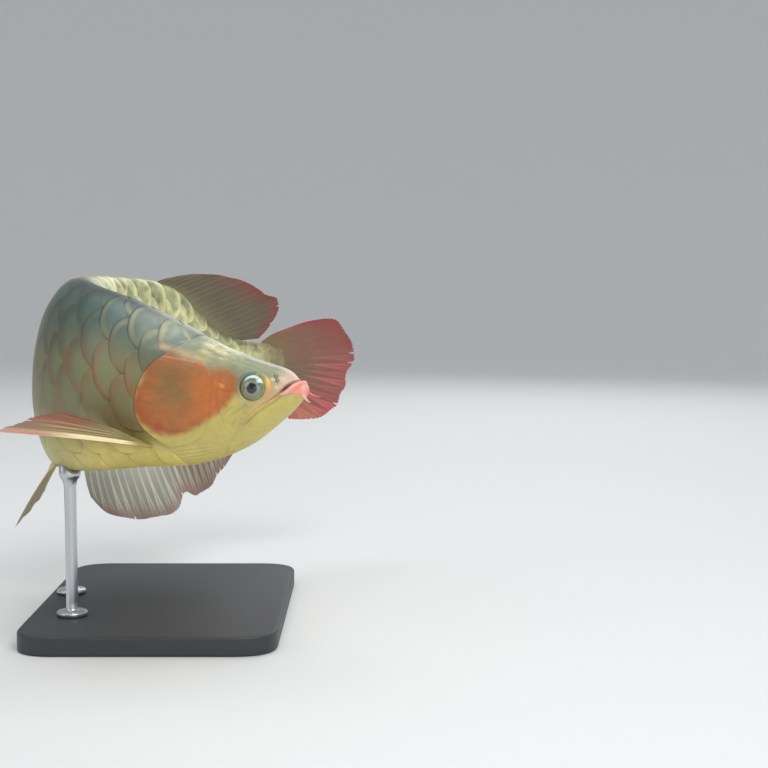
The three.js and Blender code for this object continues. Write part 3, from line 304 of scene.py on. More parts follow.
def skin_point(s, around, rise=0.0):
    """Share of length, share of half girth from the back (right side positive), rise in mm."""
    s, around = np.broadcast_arrays(np.asarray(s, float), wrapped(around))
    side = np.where(around < 0, -1.0, 1.0)
    i = np.clip(np.searchsorted(TABLE_S, s, side="right") - 1, 0, len(TABLE_S) - 2)
    t = np.clip((s - TABLE_S[i]) / (TABLE_S[i + 1] - TABLE_S[i]), 0, 1)
    a = np.abs(around) * GIRTH_STEPS
    j = np.clip(np.floor(a).astype(int), 0, GIRTH_STEPS - 1)
    u = a - j

    def read(axis, jj):
        return TABLE[i, axis, jj] * (1 - t) + TABLE[i + 1, axis, jj] * t

    y = mix(read(0, j), read(0, j + 1), u)
    z = mix(read(1, j), read(1, j + 1), u)
    before, after = np.maximum(j - 2, 0), np.minimum(j + 3, GIRTH_STEPS)
    dy, dz = read(0, after) - read(0, before), read(1, after) - read(1, before)
    size = np.hypot(dy, dz)
    ny, nz = -dz / size, dy / size
    return np.stack([s * LENGTH, side * (y + ny * rise), z + nz * rise], -1)


# Bend of the spine and place in the world


def heading_at(x):
    return np.radians(HEAD_TURN + BODY_TURN * smooth(BEND_FROM, BEND_TO, x / LENGTH))


SPINE_X = np.arange(0, 1.3 * LENGTH + 0.5, 1.0)
STEP_HEADING = heading_at(SPINE_X[:-1] + 0.5)
SPINE_AT = np.stack([
    np.concatenate([[0], -np.cumsum(np.cos(STEP_HEADING))]),
    np.concatenate([[0], np.cumsum(np.sin(STEP_HEADING))]),
    heading_at(SPINE_X),
])


def spine(x):
    v = np.clip(x, 0, SPINE_X[-1])
    heading = np.interp(v, SPINE_X, SPINE_AT[2])
    px = np.interp(v, SPINE_X, SPINE_AT[0]) - (x - v) * np.cos(heading)
    py = np.interp(v, SPINE_X, SPINE_AT[1]) + (x - v) * np.sin(heading)
    return px, py, heading


def bent(p):
    x, y, heading = spine(p[..., 0])
    return np.stack([
        x - p[..., 1] * np.sin(heading), y - p[..., 1] * np.cos(heading), p[..., 2],
    ], -1)


def carried(p, root):
    """Points moved stiffly with the spine at one place."""
    x, y, heading = spine(np.float64(root))
    past = p[..., 0] - root
    return np.stack([
        x - past * np.cos(heading) - p[..., 1] * np.sin(heading),
        y + past * np.sin(heading) - p[..., 1] * np.cos(heading),
        p[..., 2],
    ], -1)


def turn_matrix():
    a, b = math.radians(TIP_SIDE), math.radians(TIP_DOWN)
    about_x = np.array([[1, 0, 0], [0, math.cos(a), -math.sin(a)], [0, math.sin(a), math.cos(a)]])
    about_y = np.array([[math.cos(b), 0, math.sin(b)], [0, 1, 0], [-math.sin(b), 0, math.cos(b)]])
    return about_x @ about_y


TURN = turn_matrix()


def world(p):
    return (p @ TURN.T + np.array(SNOUT_AT)) * 0.001


# Fields in side view: distances in millimetres from lines and outlines given as shares


def line_field(shares, s, z, closed=False):
    """Distance, signed side (positive to the left of the line) and share along a line."""
    line = np.asarray(shares, float) * LENGTH
    if closed:
        line = np.vstack([line, line[:1]])
    px, pz = s * LENGTH, z * LENGTH
    steps = np.hypot(*np.diff(line, axis=0).T)
    before = np.concatenate([[0], np.cumsum(steps)])
    best = np.full(px.shape, 1e9)
    sign = np.ones(px.shape)
    share = np.zeros(px.shape)
    for k in range(len(line) - 1):
        a, d = line[k], line[k + 1] - line[k]
        t = np.clip(((px - a[0]) * d[0] + (pz - a[1]) * d[1]) / (d @ d), 0, 1)
        ox, oz = px - a[0] - t * d[0], pz - a[1] - t * d[1]
        dist = np.hypot(ox, oz)
        nearer = dist < best
        best = np.where(nearer, dist, best)
        sign = np.where(nearer, np.where(d[0] * oz - d[1] * ox >= 0, 1.0, -1.0), sign)
        share = np.where(nearer, (before[k] + t * steps[k]) / before[-1], share)
    return best, sign, share


def inside_field(shares, s, z):
    """Signed distance from an outline, positive inside."""
    outline = np.asarray(shares, float) * LENGTH
    px, pz = s * LENGTH, z * LENGTH
    inside = np.zeros(px.shape, bool)
    for k in range(len(outline)):
        (ax, az), (bx, bz) = outline[k], outline[(k + 1) % len(outline)]
        if az == bz:
            continue
        crosses = (az > pz) != (bz > pz)
        inside ^= crosses & (px < (bx - ax) * (pz - az) / (bz - az) + ax)
    best, _, _ = line_field(shares, s, z, closed=True)
    return np.where(inside, best, -best)


head_rear_at = Through([z for _, z in reversed(HEAD_REAR)], [s for s, _ in reversed(HEAD_REAR)])
REAR_LINE = smooth_line(HEAD_REAR, 40)
GILL_OUTLINE = np.vstack([
    smooth_line(GILL_FRONT, 28),
    [p for p in REAR_LINE[::-1] if p[0] > 0.204 and -0.128 < p[1] < -0.001],
])
MOUTH_LINE = smooth_line(MOUTH, 40)
JAW_LINE = smooth_line(JAW_JOINT, 20)
MAXILLA = smooth_line([
    (0.0240, -0.0250), (0.0340, -0.0330), (0.0445, -0.0402), (0.0590, -0.0490), (0.0690, -0.0580),
    (0.0752, -0.0675), (0.0760, -0.0750), (0.0712, -0.0762), (0.0650, -0.0690), (0.0550, -0.0565),
    (0.0430, -0.0455), (0.0310, -0.0350), (0.0240, -0.0250),
], 60)[:-1]
LIP_OUTLINE = [
    (0.0262, -0.0262), (0.0205, -0.0248), (0.0145, -0.0226), (0.0075, -0.0212), (0.0010, -0.0222),
    (-0.0025, -0.0262), (-0.0090, -0.0275), (-0.0090, 0.0040), (-0.0020, 0.0140), (0.0020, 0.0045),
    (0.0060, -0.0020), (0.0100, -0.0058), (0.0145, -0.0105), (0.0205, -0.0185),
]
EYE_LINE = [(0.0600, -0.0395), (0.0500, -0.0385), (0.0396, -0.0360), (0.0300, -0.0310)]
ORANGE_PATCH = [
    (0.2284, -0.0412), (0.2236, -0.0158), (0.2135, -0.0063), (0.1955, 0.0050), (0.1771, -0.0002),
    (0.1542, -0.0015), (0.1275, -0.0065), (0.0976, -0.0020), (0.0870, -0.0105), (0.0853, -0.0320),
    (0.0967, -0.0541), (0.1156, -0.0737), (0.1463, -0.0998), (0.1788, -0.1142), (0.2074, -0.1116),
    (0.2280, -0.0980), (0.2385, -0.0794), (0.2360, -0.0541),
]
EYE_CRESCENT = [
    (0.0610, -0.0032), (0.0545, -0.0048), (0.0482, -0.0084), (0.0432, -0.0132), (0.0408, -0.0190),
    (0.0408, -0.0262), (0.0436, -0.0318),
]
PLATE_LINES = [
    # rear edge of the plates of the cheek, then the line between them
    [(0.092, 0.004), (0.106, -0.010), (0.113, -0.032), (0.110, -0.056), (0.100, -0.076), (0.098, -0.092)],
    [(0.086, -0.030), (0.096, -0.032), (0.112, -0.034)],
    # front edge of the gill cover, and its seam with the lower plate
    [(0.128, -0.006), (0.122, -0.040), (0.121, -0.080), (0.136, -0.112)],
    [(0.132, -0.094), (0.170, -0.104), (0.212, -0.108)],
    # under the eye, along the upper edge of the jaw
    [(0.062, -0.0440), (0.070, -0.0488), (0.0752, -0.0534), (0.0835, -0.0607), (0.0950, -0.0700)],
    # folds behind the corner of the mouth
    [(0.0835, -0.0500), (0.0905, -0.0560), (0.0985, -0.0650), (0.1040, -0.0720)],
    [(0.0800, -0.0660), (0.0850, -0.0760), (0.0880, -0.0870)],
    # roof of the head
    [(0.050, 0.000), (0.075, 0.006), (0.105, 0.010), (0.140, 0.016), (0.166, 0.026)],
]

# Place in side view, size in millimetres and colour of single marks
FLECKS = [
    (0.1068, -0.0272, 2.4, (240, 150, 78)), (0.1110, -0.0250, 1.6, (236, 140, 70)),
    (0.1665, -0.0033, 3.2, (206, 92, 54)), (0.1529, -0.0042, 2.8, (200, 88, 56)),
    (0.1345, -0.0865, 1.2, (104, 92, 46)), (0.0290, -0.0150, 2.0, (228, 216, 150)),
    (0.0380, -0.0060, 2.6, (206, 210, 178)), (0.1960, -0.1000, 5.0, (182, 66, 40)),
    (0.1150, -0.0560, 4.0, (206, 104, 46)),
]

# Colours of skin and scales, from place on the fish

BACK = (54, 69, 65)
UPPER = (79, 95, 84)
FLANK = (124, 112, 78)
LOW = (166, 150, 84)
BELLY = (228, 208, 116)
PALE = (212, 212, 152)
CREAM = (204, 198, 138)
YELLOW = (200, 184, 100)
CHIN = (210, 194, 114)
ORANGE = (182, 102, 44)
RUST = (168, 76, 38)
BROWN = (130, 104, 58)
PINK = (242, 158, 140)
SNOUT = (206, 180, 156)
CROWN = (136, 141, 108)
FACE = (190, 158, 106)
PIT_SHADE = (22, 36, 24)


def over(colour, top, cover):
    """A colour painted over another with a cover of 0 to 1 at each point."""
    cover = np.clip(np.asarray(cover, float), 0, 1)[..., None]
    return colour * (1 - cover) + np.asarray(top) * cover


def painted(colour, *layers):
    """A colour with layers of red, green, blue (0 to 255) and cover laid over it in turn."""
    for r, g, b, cover in layers:
        colour = over(colour, linear(r, g, b), cover)
    return colour


def body_colour(s, around, place):
    """Markings shared by the skin and the scales, with painted shade where the body bends away."""
    flat = np.abs(wrapped(around))
    a = flat + 0.035 * cloudy(place, 60, seed=3)
    blotch, fine, mottle = cloudy(place, 13, seed=7), cloudy(place, 5, seed=8), cloudy(place, 8, seed=9)
    temple = bump(flat, 0.203 + (s - 0.178) * 0.93, 0.030) * bump(s, 0.200, 0.034)
    low_bend_shade = smooth(0.29, 0.40, s) * (1 - smooth(0.50, 0.60, s)) * smooth(0.66, 0.80, a)
    margin = bump(s, 0.236, 0.030) * bump(a, 0.50, 0.20)
    rear = smooth(0.44, 0.60, s)
    strip = smooth(0.775, 0.825, s) * (1 - smooth(0.895, 0.935, s))
    return painted(
        linear(*BACK),
        (*UPPER, smooth(0.02, 0.15, a)),
        (*FLANK, smooth(0.24, 0.46, a)),
        (*LOW, smooth(0.64, 0.80, a)),
        (*BELLY, smooth(0.72, 0.88, a)),
        # Paler shoulder, warm line over the gill cover, painted shade on the low flank where the body bends
        # away
        (146, 150, 126, 0.75 * (bump(s, 0.205, 0.085) * (1 - smooth(0.14, 0.34, a)))),
        (228, 184, 142, 0.75 * temple),
        (152, 140, 98, 0.40 * bump(s, 0.275, 0.085) * bump(a, 0.44, 0.26)),
        (146, 142, 84, 0.65 * low_bend_shade),
        (158, 102, 56, margin * np.clip(0.35 + 0.9 * mottle, 0, 0.75)),
        # Cream mottles behind the nape, painted shade over the upper body where it bends away
        (204, 202, 160, 0.75 * bump(s, 0.212, 0.062) * bump(flat, 0.12, 0.17)
         * np.clip(0.22 + 1.5 * mottle, 0, 1)),
        (50, 59, 54, 0.70 * bump(s, 0.42, 0.14) * (1 - smooth(0.30, 0.66, a))),
        # Pale gold rear of the body, with olive marks beside the dorsal fin
        (*PALE, rear * (0.85 - 0.5 * smooth(0.55, 0.90, a))),
        (106, 106, 76, rear * bump(a, 0.10, 0.19) * np.clip(0.25 + 1.1 * blotch + 0.9 * fine, 0, 0.90)),
        (250, 244, 184, rear * bump(a, 0.30, 0.30) * np.clip(0.20 + 0.9 * blotch - 1.1 * fine, 0, 0.90)),
        (104, 102, 66, 0.90 * strip * (1 - smooth(0.05, 0.20, a))),
        # Brown where the stalk runs into the tail fin
        (138, 122, 88, 0.90 * smooth(0.935, 1.005, s)),
    )


def head_colour(s, around, z, place, f):
    """Markings of the head over those of the body, with painted highlights and painted shade."""
    a = np.abs(wrapped(around))
    patchy = cloudy(place, 9, seed=11)
    fine = cloudy(place, 2.5, seed=12, octaves=2)
    streaky = cloudy(place * np.array([0.35, 1, 1]), 3.2, seed=13, octaves=2)
    nape_glint = cloudy(place * np.array([0.30, 1, 1]), 2.0, seed=17, octaves=2)
    cloud = cloudy(place, 17, seed=14)
    nape = bump(s, 0.138, 0.060) * (1 - smooth(0.13, 0.24, a))
    down = a + 0.03 * patchy
    rear_edge = smooth(0.150, 0.200, s + 0.010 * patchy) * (1 - smooth(0.20, 0.30, a))
    face = painted(
        linear(*CROWN),
        (*CREAM, nape * (0.42 + 0.90 * streaky + 0.45 * patchy)),
        (104, 132, 108, 0.60 * nape * np.clip(0.05 - 1.5 * patchy, 0, 1)),
        # Painted highlight: pale glinting streaks over the nape
        (244, 240, 206, 0.80 * bump(s, 0.135, 0.055) * (1 - smooth(0.16, 0.27, a))
         * np.clip(1.6 * nape_glint - 0.15, 0, 1)),
        (96, 112, 98, bump(s, 0.185, 0.045) * (1 - smooth(0.12, 0.26, a))
         * np.clip(0.35 + 0.8 * patchy, 0, 0.8)),
        (190, 128, 84, 0.40 * bump(s, 0.150, 0.05) * bump(a, 0.20, 0.07)
         * np.clip(0.2 + patchy - streaky, 0, 1)),
        (*YELLOW, smooth(0.34, 0.50, down) * smooth(0.050, 0.085, s)),
        (*FACE, smooth(0.20, 0.36, down) * (1 - smooth(0.052, 0.085, s))),
        (*YELLOW, smooth(0.50, 0.60, a) * (1 - smooth(0.050, 0.085, s))),
        (*CHIN, 0.7 * smooth(0.66, 0.85, a)),
        (*SNOUT, (1 - smooth(0.016, 0.044, s + 0.005 * patchy)) * (1 - smooth(0.42, 0.56, a))),
        # Painted highlight on the front of the snout
        (232, 200, 186, 0.55 * (1 - smooth(0.006, 0.020, s)) * (1 - smooth(0.3, 0.5, a))),
        (128, 142, 132, rear_edge * np.clip(0.42 + 1.1 * streaky + 0.5 * patchy, 0, 0.85)),
    )
    colour = over(body_colour(s, around, place), face, f.head)
    # Orange side of the head, rust at its edges and brown in its upper middle
    above = smooth(-0.03, 0.0, z)
    streak = bump(f.orange, -3.5, 4.5) * above * bump(s, 0.165, 0.062)
    depth = f.orange - smooth(0.195, 0.235, s) * (0.6 + 1.2 * fine + 0.8 * patchy)
    depth = depth + mix(2.4, 5.0, above) * patchy + 1.6 * fine + mix(1.0, 2.5, above) * streaky
    orange = smooth(-3.4, 4.6, depth) * (1 - 0.34 * above)
    rust = bump(f.orange, 2.5, 7.0) * (0.45 + 0.55 * patchy)
    rust = rust + 0.75 * smooth(0.168, 0.222, s) * (0.55 + 0.9 * streaky + 0.5 * fine)
    brown = bump(s, 0.182, 0.062) * bump(z, -0.036, 0.060)
    vivid = bump(s, 0.122, 0.050) * bump(z, -0.046, 0.056)
    colour = painted(
        colour,
        (222, 186, 136, 0.70 * streak * (0.7 + 0.5 * streaky)),
        (*ORANGE, orange * 0.95),
        (*RUST, orange * np.clip(rust, 0, 1) * 0.75),
        (150, 84, 44, orange * np.clip(0.9 * cloud - 0.05, 0, 0.6)),
        (206, 124, 58, orange * np.clip(-0.9 * cloud - 0.10, 0, 0.6)),
        (*BROWN, orange * brown * (0.85 + 0.35 * patchy + 0.5 * streaky)),
        (*BROWN, orange * 0.45 * np.clip(streaky, 0, 1)),
        (208, 112, 44, orange * vivid * (0.55 + 0.35 * fine)),
        (210, 126, 66, orange * 0.35 * np.clip(-streaky - 0.1, 0, 1)),
    )
    for fs, fz, size, tone in FLECKS:
        d = np.hypot((s - fs) * LENGTH, (z - fz) * LENGTH * 1.4) / size
        colour = painted(colour, (*tone, 0.8 * (1 - smooth(0.35, 1.1, d + 0.25 * fine))))
    end = 1 - smooth(0.064, 0.076, s)
    dark = 0.50 * bump(f.maxilla, -0.5, 1.3) * f.maxilla_near * (0.65 + 0.6 * streaky)
    colour = painted(
        colour,
        # Lips
        (206, 160, 138, 0.5 * f.upper_lip),
        (*PINK, 0.97 * f.lower_lip),
        (226, 178, 172, 0.70 * f.lower_lip * bump(f.across, -1.6, 2.2) * smooth(0.006, 0.018, s)),
        # Painted highlight at the front tip of the lower lip
        (250, 186, 164, 0.60 * f.lower_lip * bump(s, -0.003, 0.0042)),
        (238, 128, 100, 0.45 * f.lower_lip * bump(s, 0.004, 0.007) * bump(f.across, -5.5, 4.0)),
        # Plate over the corner of the mouth, darker along its lower edge
        (206, 172, 104, 0.60 * smooth(-0.8, 1.4, f.maxilla) * mix(0.3, 1.0, end)),
        (122, 100, 52, dark * mix(0.35, 1.0, end)),
        (222, 176, 128, 0.60 * f.eye_line),
    )
    # Golden crescent ahead of the eye, then painted light and shade round its rim: a pale line below,
    # painted shade behind and above
    along = f.crescent_along
    bright = painted(linear(250, 190, 74), (212, 160, 104, smooth(0.40, 0.70, along)))
    colour = over(colour, bright, 0.95 * f.crescent * (1 - 0.75 * smooth(0.60, 0.95, along)))
    colour = painted(
        colour,
        (188, 200, 136, 0.5 * bump(f.eye, 12.6, 2.2) * smooth(0.2, 0.9, -f.eye_up)),
        (112, 84, 56, 0.45 * bump(f.eye, 11.8, 1.9) * smooth(0.3, 0.9, -f.eye_ahead)),
        (92, 124, 108, 0.8 * bump(f.eye, 11.8, 2.2) * smooth(0.2, 0.8, f.eye_up)),
    )
    # Seams between plates, then painted shade in the gap of the mouth and inside the nostrils
    colour = over(colour, colour * 0.62, 0.55 * f.seams)
    deep = mix(0.95, 0.45, smooth(0.34, 0.50, f.mouth_share))
    colour = painted(colour, (76, 44, 34, deep * smooth(0.2, 0.9, f.mouth)), (*PIT_SHADE, f.nostril))
    shade = 1 + 0.08 * patchy + 0.09 * fine + 0.06 * streaky * smooth(0.05, 0.10, s)
    return colour * shade[..., None]


# Mesh making


def make_mesh(name, points, quads, triangles=None, colours=None, maps=None):
    """A mesh object from world points in metres."""
    me = bpy.data.meshes.new(name)
    triangles = np.zeros((0, 3), int) if triangles is None else np.asarray(triangles, int)
    quads = np.asarray(quads, int).reshape(-1, 4)
    loops = np.concatenate([quads.ravel(), triangles.ravel()])
    starts = np.concatenate([
        np.arange(len(quads)) * 4, len(quads) * 4 + np.arange(len(triangles)) * 3,
    ])
    me.vertices.add(len(points))
    me.vertices.foreach_set("co", np.ascontiguousarray(points, dtype=np.float32).ravel())
    me.loops.add(len(loops))
    me.loops.foreach_set("vertex_index", loops.astype(np.int32))
    me.polygons.add(len(starts))
    me.polygons.foreach_set("loop_start", starts.astype(np.int32))
    me.polygons.foreach_set("use_smooth", np.ones(len(starts), bool))
    me.update(calc_edges=True)
    if colours is not None:
        layer = me.color_attributes.new("Tint", "FLOAT_COLOR", "POINT")
        rgba = np.concatenate([np.clip(colours, 0, 1), np.ones((len(points), 1))], 1)
        layer.data.foreach_set("color", rgba.astype(np.float32).ravel())
    for map_name, uv in (maps or {}).items():
        layer = me.uv_layers.new(name=map_name)
        layer.data.foreach_set("uv", uv[loops].astype(np.float32).ravel())
    me.validate()
    ob = bpy.data.objects.new(name, me)
    bpy.context.scene.collection.objects.link(ob)
    return ob


def grid_quads(rows, columns, start=0, wrap=False):
    i = np.arange(rows - 1)[:, None]
    j = np.arange(columns if wrap else columns - 1)[None, :]
    a = start + i * columns + j
    b = start + i * columns + (j + 1) % columns
    return np.stack(np.broadcast_arrays(a, b, b + columns, a + columns), -1).reshape(-1, 4)


# Skin of head, trunk and tail stalk in one piece

SKIN_SIDES = 400
SKIN_S = np.concatenate([
    -0.0070 + 0.0070 * (np.arange(1, 27) / 26) ** 2,
    np.arange(0.0008, 0.110, 0.0008),
    np.arange(0.110, 0.196, 0.0015),
    np.arange(0.196, 0.246, 0.0009),
    np.arange(0.246, 0.32, 0.003),
    np.arange(0.32, TAPER_FROM, 0.006),
    TAPER_FROM + (TAIL_END - TAPER_FROM) * np.sin(np.linspace(0, 1.56, 36)),
])


def head_fields(s, around, z):
    """Everything that shapes or colours the head, as fields over the skin."""
    f = SimpleNamespace()
    a = np.abs(wrapped(around))
    f.edge = (head_rear_at(z) - s) * LENGTH
    f.head = smooth(-0.5, 1.5, f.edge)
    f.gill = inside_field(GILL_OUTLINE, s, z)
    f.orange = inside_field(ORANGE_PATCH, s, z)
    # The line of the mouth runs down and back: its left side is the upper jaw.
    dist, sign, share = line_field(MOUTH_LINE, s, z)
    f.across, f.mouth_share = dist * sign, share
    f.seen = np.where(a > 0.86, 0.0, 1.0)
    gape = 0.46 + 0.32 * bump(s, 0.0175, 0.010) + 0.16 * bump(s, 0.006, 0.008)
    f.mouth = np.exp(-((f.across - 0.15) / gape) ** 2) * (1 - smooth(0.985, 1.0, share)) * f.seen
    f.mouth = f.mouth * mix(1.0, 0.40, smooth(0.32, 0.50, share))
    f.lower_lip = smooth(-0.5, 0.7, inside_field(LIP_OUTLINE, s, z))
    f.upper_lip = (smooth(0.1, 0.8, f.across) * (1 - smooth(2.2, 3.6, f.across))
                   * (1 - smooth(0.55, 0.95, share)) * f.seen)
    f.maxilla = inside_field(MAXILLA, s, z)
    near_z = np.interp(s, [0.024, 0.045, 0.060, 0.080], [-0.0250, -0.0430, -0.0550, -0.0750])
    f.maxilla_near = smooth(0.0015, -0.0015, z - near_z) * (1 - 0.5 * smooth(-0.074, -0.082, z))
    # Line under the eye, distance from the eye's middle, crescent ahead of it
    dist, _, along = line_field(smooth_line(EYE_LINE, 16), s, z)
    f.eye_line = np.exp(-(dist / 0.8) ** 2) * bump(along, 0.5, 0.5)
    ex, ez = (s - EYE_AT[0]) * LENGTH, (z - EYE_AT[1]) * LENGTH
    f.eye = np.hypot(ex, ez)
    f.eye_ahead, f.eye_up = -ex / np.maximum(f.eye, 1e-3), ez / np.maximum(f.eye, 1e-3)
    dist, _, along = line_field(smooth_line(EYE_CRESCENT, 24), s, z)
    f.crescent = 1 - smooth(0.6, 1.3, dist / (0.6 + 1.7 * bump(along, 0.45, 0.80)))
    f.crescent_along = along
    # Seams between the plates, each with a row of pores beside it
    seams, f.pores = np.zeros(s.shape), np.zeros(s.shape)
    for line in PLATE_LINES:
        d, side, t = line_field(smooth_line(line, 16), s, z)
        ends = smooth(0, 0.25, t) * (1 - smooth(0.75, 1, t))
        seams = np.maximum(seams, 0.7 * np.exp(-(d / 0.95) ** 2) * ends)
        spots = np.cos(t * math.pi * 9) ** 16
        f.pores = np.maximum(f.pores, np.exp(-((d * side - 2.6) / 0.55) ** 2) * spots * ends)
    d, _, t = line_field(JAW_LINE, s, z)
    seams = np.maximum(seams, 0.35 * np.exp(-(d / 1.5) ** 2) * (1 - smooth(0.5, 1, t)))
    f.seams = seams * (1 - smooth(0.93, 1.0, a))
    f.nostril = np.zeros(s.shape)
    for ns, nz, radius in NOSTRILS:
        d = np.hypot((s - ns) * LENGTH, (z - nz) * LENGTH) / radius
        f.nostril = np.maximum(f.nostril, 1 - smooth(0.50, 0.85, d))
    # Ridges that fan out over the gill cover from its front upper corner
    dx, dz = (s - 0.128) * LENGTH, (z + 0.010) * LENGTH
    fan = np.sin(np.arctan2(dz, dx) * 46 + 0.5 * np.sin(np.hypot(dx, dz) * 0.25))
    f.fan = fan * smooth(1.0, 5.0, f.gill) * smooth(6, 18, np.hypot(dx, dz))
    return f


def skin_rise(s, around, place, f):
    """Height of the finished skin over the plain one, in millimetres."""
    a = np.abs(wrapped(around))
    share, across = f.mouth_share, f.across
    gill_high = mix(0.5, 1.9, smooth(0.115, 0.235, s))
    gill_soft = mix(2.6, 0.9, smooth(0.19, 0.215, s))
    hem = smooth(0.14, 0.17, s) * smooth(0.55, 0.7, a) * (1 - smooth(0.985, 1.0, a))
    front = 1 - smooth(0.35, 0.9, share)
    throat = bump(a, 0.86, 0.12) * bump(s, 0.150, 0.05)
    return (
        # Step down to the scales, gill cover, loose hem below and behind it
        -0.7 * (1 - smooth(-1.2, 0.2, f.edge))
        + gill_high * smooth(0.0, 1.0, f.gill / gill_soft)
        + 0.3 * hem * smooth(0.0, 4.0, f.edge) * (1 - smooth(-0.5, 0.5, f.gill))
        # Mouth and lips
        - mix(0.7, 2.2, front) * f.mouth
        + 1.4 * bump(across, -2.8, 3.0) * (1 - smooth(0.24, 0.50, share)) * f.seen
        + 0.6 * bump(across, -1.7, 1.7) * f.seen * smooth(0.2, 0.4, share) * (1 - smooth(0.85, 1, share))
        - 0.35 * bump(f.lower_lip, 0.35, 0.35) * (1 - smooth(0.24, 0.5, share))
        + 0.75 * bump(across, 1.9, 1.7) * (1 - smooth(0.6, 0.95, share))
        # Plate over the corner of the mouth
        + 0.50 * smooth(-0.8, 2.0, f.maxilla) * smooth(0.022, 0.045, s)
        # Rim of the eye and its socket
        + mix(0.35, 0.75, smooth(-0.6, 0.6, f.eye_up)) * bump(f.eye, 11.6, 2.4)
        - 6.0 * (1 - smooth(8.4, 10.5, f.eye))
        + 0.25 * f.crescent * (1 - f.crescent_along)
        # Plates of the cheek and roof, with pores along their edges
        - 0.42 * f.seams - 0.35 * f.pores + 0.07 * f.fan
        - 2.2 * f.nostril
        + 0.22 * f.head * cloudy(place, 22, seed=21) + 0.07 * f.head * cloudy(place, 4.5, seed=22)
        # Fine rays in the throat skin
        + 0.28 * throat * np.sin(a * 210 + 6 * s)
    )


def snout_shift(s, upper):
    """Move of the skin at the mouth: the upper jaw back and down, the lower lip a little back."""
    near = (1 - smooth(0.002, 0.046, s)) * upper
    lip = (1 - smooth(-0.004, 0.020, s)) * (1 - upper)
    return np.stack([3.4 * near + 1.2 * lip, 0 * near, -1.9 * near], -1)


def surface_normals(grid):
    """Outward unit normals of a closed ring grid of the straight fish."""
    along = np.gradient(grid, axis=0)
    n = np.cross((np.roll(grid, -1, axis=1) - np.roll(grid, 1, axis=1)) / 2, along)
    n /= np.maximum(np.linalg.norm(n, axis=-1, keepdims=True), 1e-9)
    return n if np.sum(n[..., 1] * grid[..., 1]) >= 0 else -n


def bake_place(s, around):
    """Place of a point of the body on the flat map of the whole skin."""
    return np.stack([s / 1.06 + 0.01, (around + 1) / 2], -1)


def build_skin():
    """The skin of head, trunk and stalk, with a point that closes each end."""
    turn = np.arange(SKIN_SIDES) / SKIN_SIDES
    s, around = np.meshgrid(SKIN_S, np.where(turn <= 0.5, 2 * turn, 2 * turn - 2), indexing="ij")
    plain = skin_point(s, around)
    z = plain[..., 2] / LENGTH
    fields = head_fields(s, around, z)
    points = plain + surface_normals(plain) * skin_rise(s, around, plain, fields)[..., None]
    upper = smooth(-0.2, 1.0, fields.across) * (np.abs(wrapped(around)) < 0.5)
    points = points + snout_shift(s, upper)
    colours = head_colour(s, around, z, plain, fields).reshape(-1, 3)
    ends = np.array([points[0].mean(0) + np.array([-0.25, 0, 0]), points[-1].mean(0)])
    count = len(colours)
    j = np.arange(SKIN_SIDES)
    k = (j + 1) % SKIN_SIDES
    last = count - SKIN_SIDES
    triangles = np.vstack([
        np.stack([k, j, np.full_like(j, count)], -1),
        np.stack([last + j, last + k, np.full_like(j, count + 1)], -1),
    ])
    return make_mesh(
        "skin", world(bent(np.vstack([points.reshape(-1, 3), ends]))),
        grid_quads(len(SKIN_S), SKIN_SIDES, wrap=True), triangles,
        np.vstack([colours, colours[0], colours[-1]]),
        {"SkinUV": np.vstack([bake_place(s, around).reshape(-1, 2), [[0.0, 0.5], [1.0, 0.5]]])})


# Scales


LATTICE_RATE = (SCALE_LENGTH_REAR - SCALE_LENGTH_FRONT) / (1 - LATTICE_START)


def down_girth(row, s):
    """Share of half girth of a row counted from the back, rows drawing together rearward."""
    closing = 0.55 * smooth(0.62, 0.98, s)
    spaces = [1 - closing * c for c in ROW_CLOSING]
    whole = sum(spaces)
    total = np.zeros(np.broadcast(row, s).shape)
    for i in range(7):
        total = total + np.clip(row - i, 0, 1) * spaces[i]
    return total / whole


def along_lattice(a, row):
    down = np.abs(row)
    straight = LATTICE_START + SCALE_LENGTH_FRONT / LATTICE_RATE * (np.exp(LATTICE_RATE * a) - 1)
    return straight + COLUMN_LEAN * (3 - down) * (1 - smooth(0.45, 0.95, straight))


def lattice_place(a, row):
    """Share of length and place around of a lattice point, row signed from the back."""
    row = np.mod(row + 7, 14) - 7
    s = along_lattice(a, row)
    return s, np.sign(row) * down_girth(np.abs(row), s)


SCALE_CELLS = 20
SCALE_POWER = 2.3


def scale_outline():
    """Grid of a scale: across and along from -1 (root) to 1 (rear tip), with its reach."""
    k = np.linspace(-1, 1, SCALE_CELLS + 1)
    x, y = np.meshgrid(k, k, indexing="ij")
    dx, dy = x * np.sqrt(1 - y * y / 2), y * np.sqrt(1 - x * x / 2)
    r = np.hypot(dx, dy)
    c, d = np.abs(dx) / np.maximum(r, 1e-9), np.abs(dy) / np.maximum(r, 1e-9)
    reach = 1 / np.maximum((c ** SCALE_POWER + d ** SCALE_POWER) ** (1 / SCALE_POWER), 1e-9)
    return dx * reach, dy * reach, r


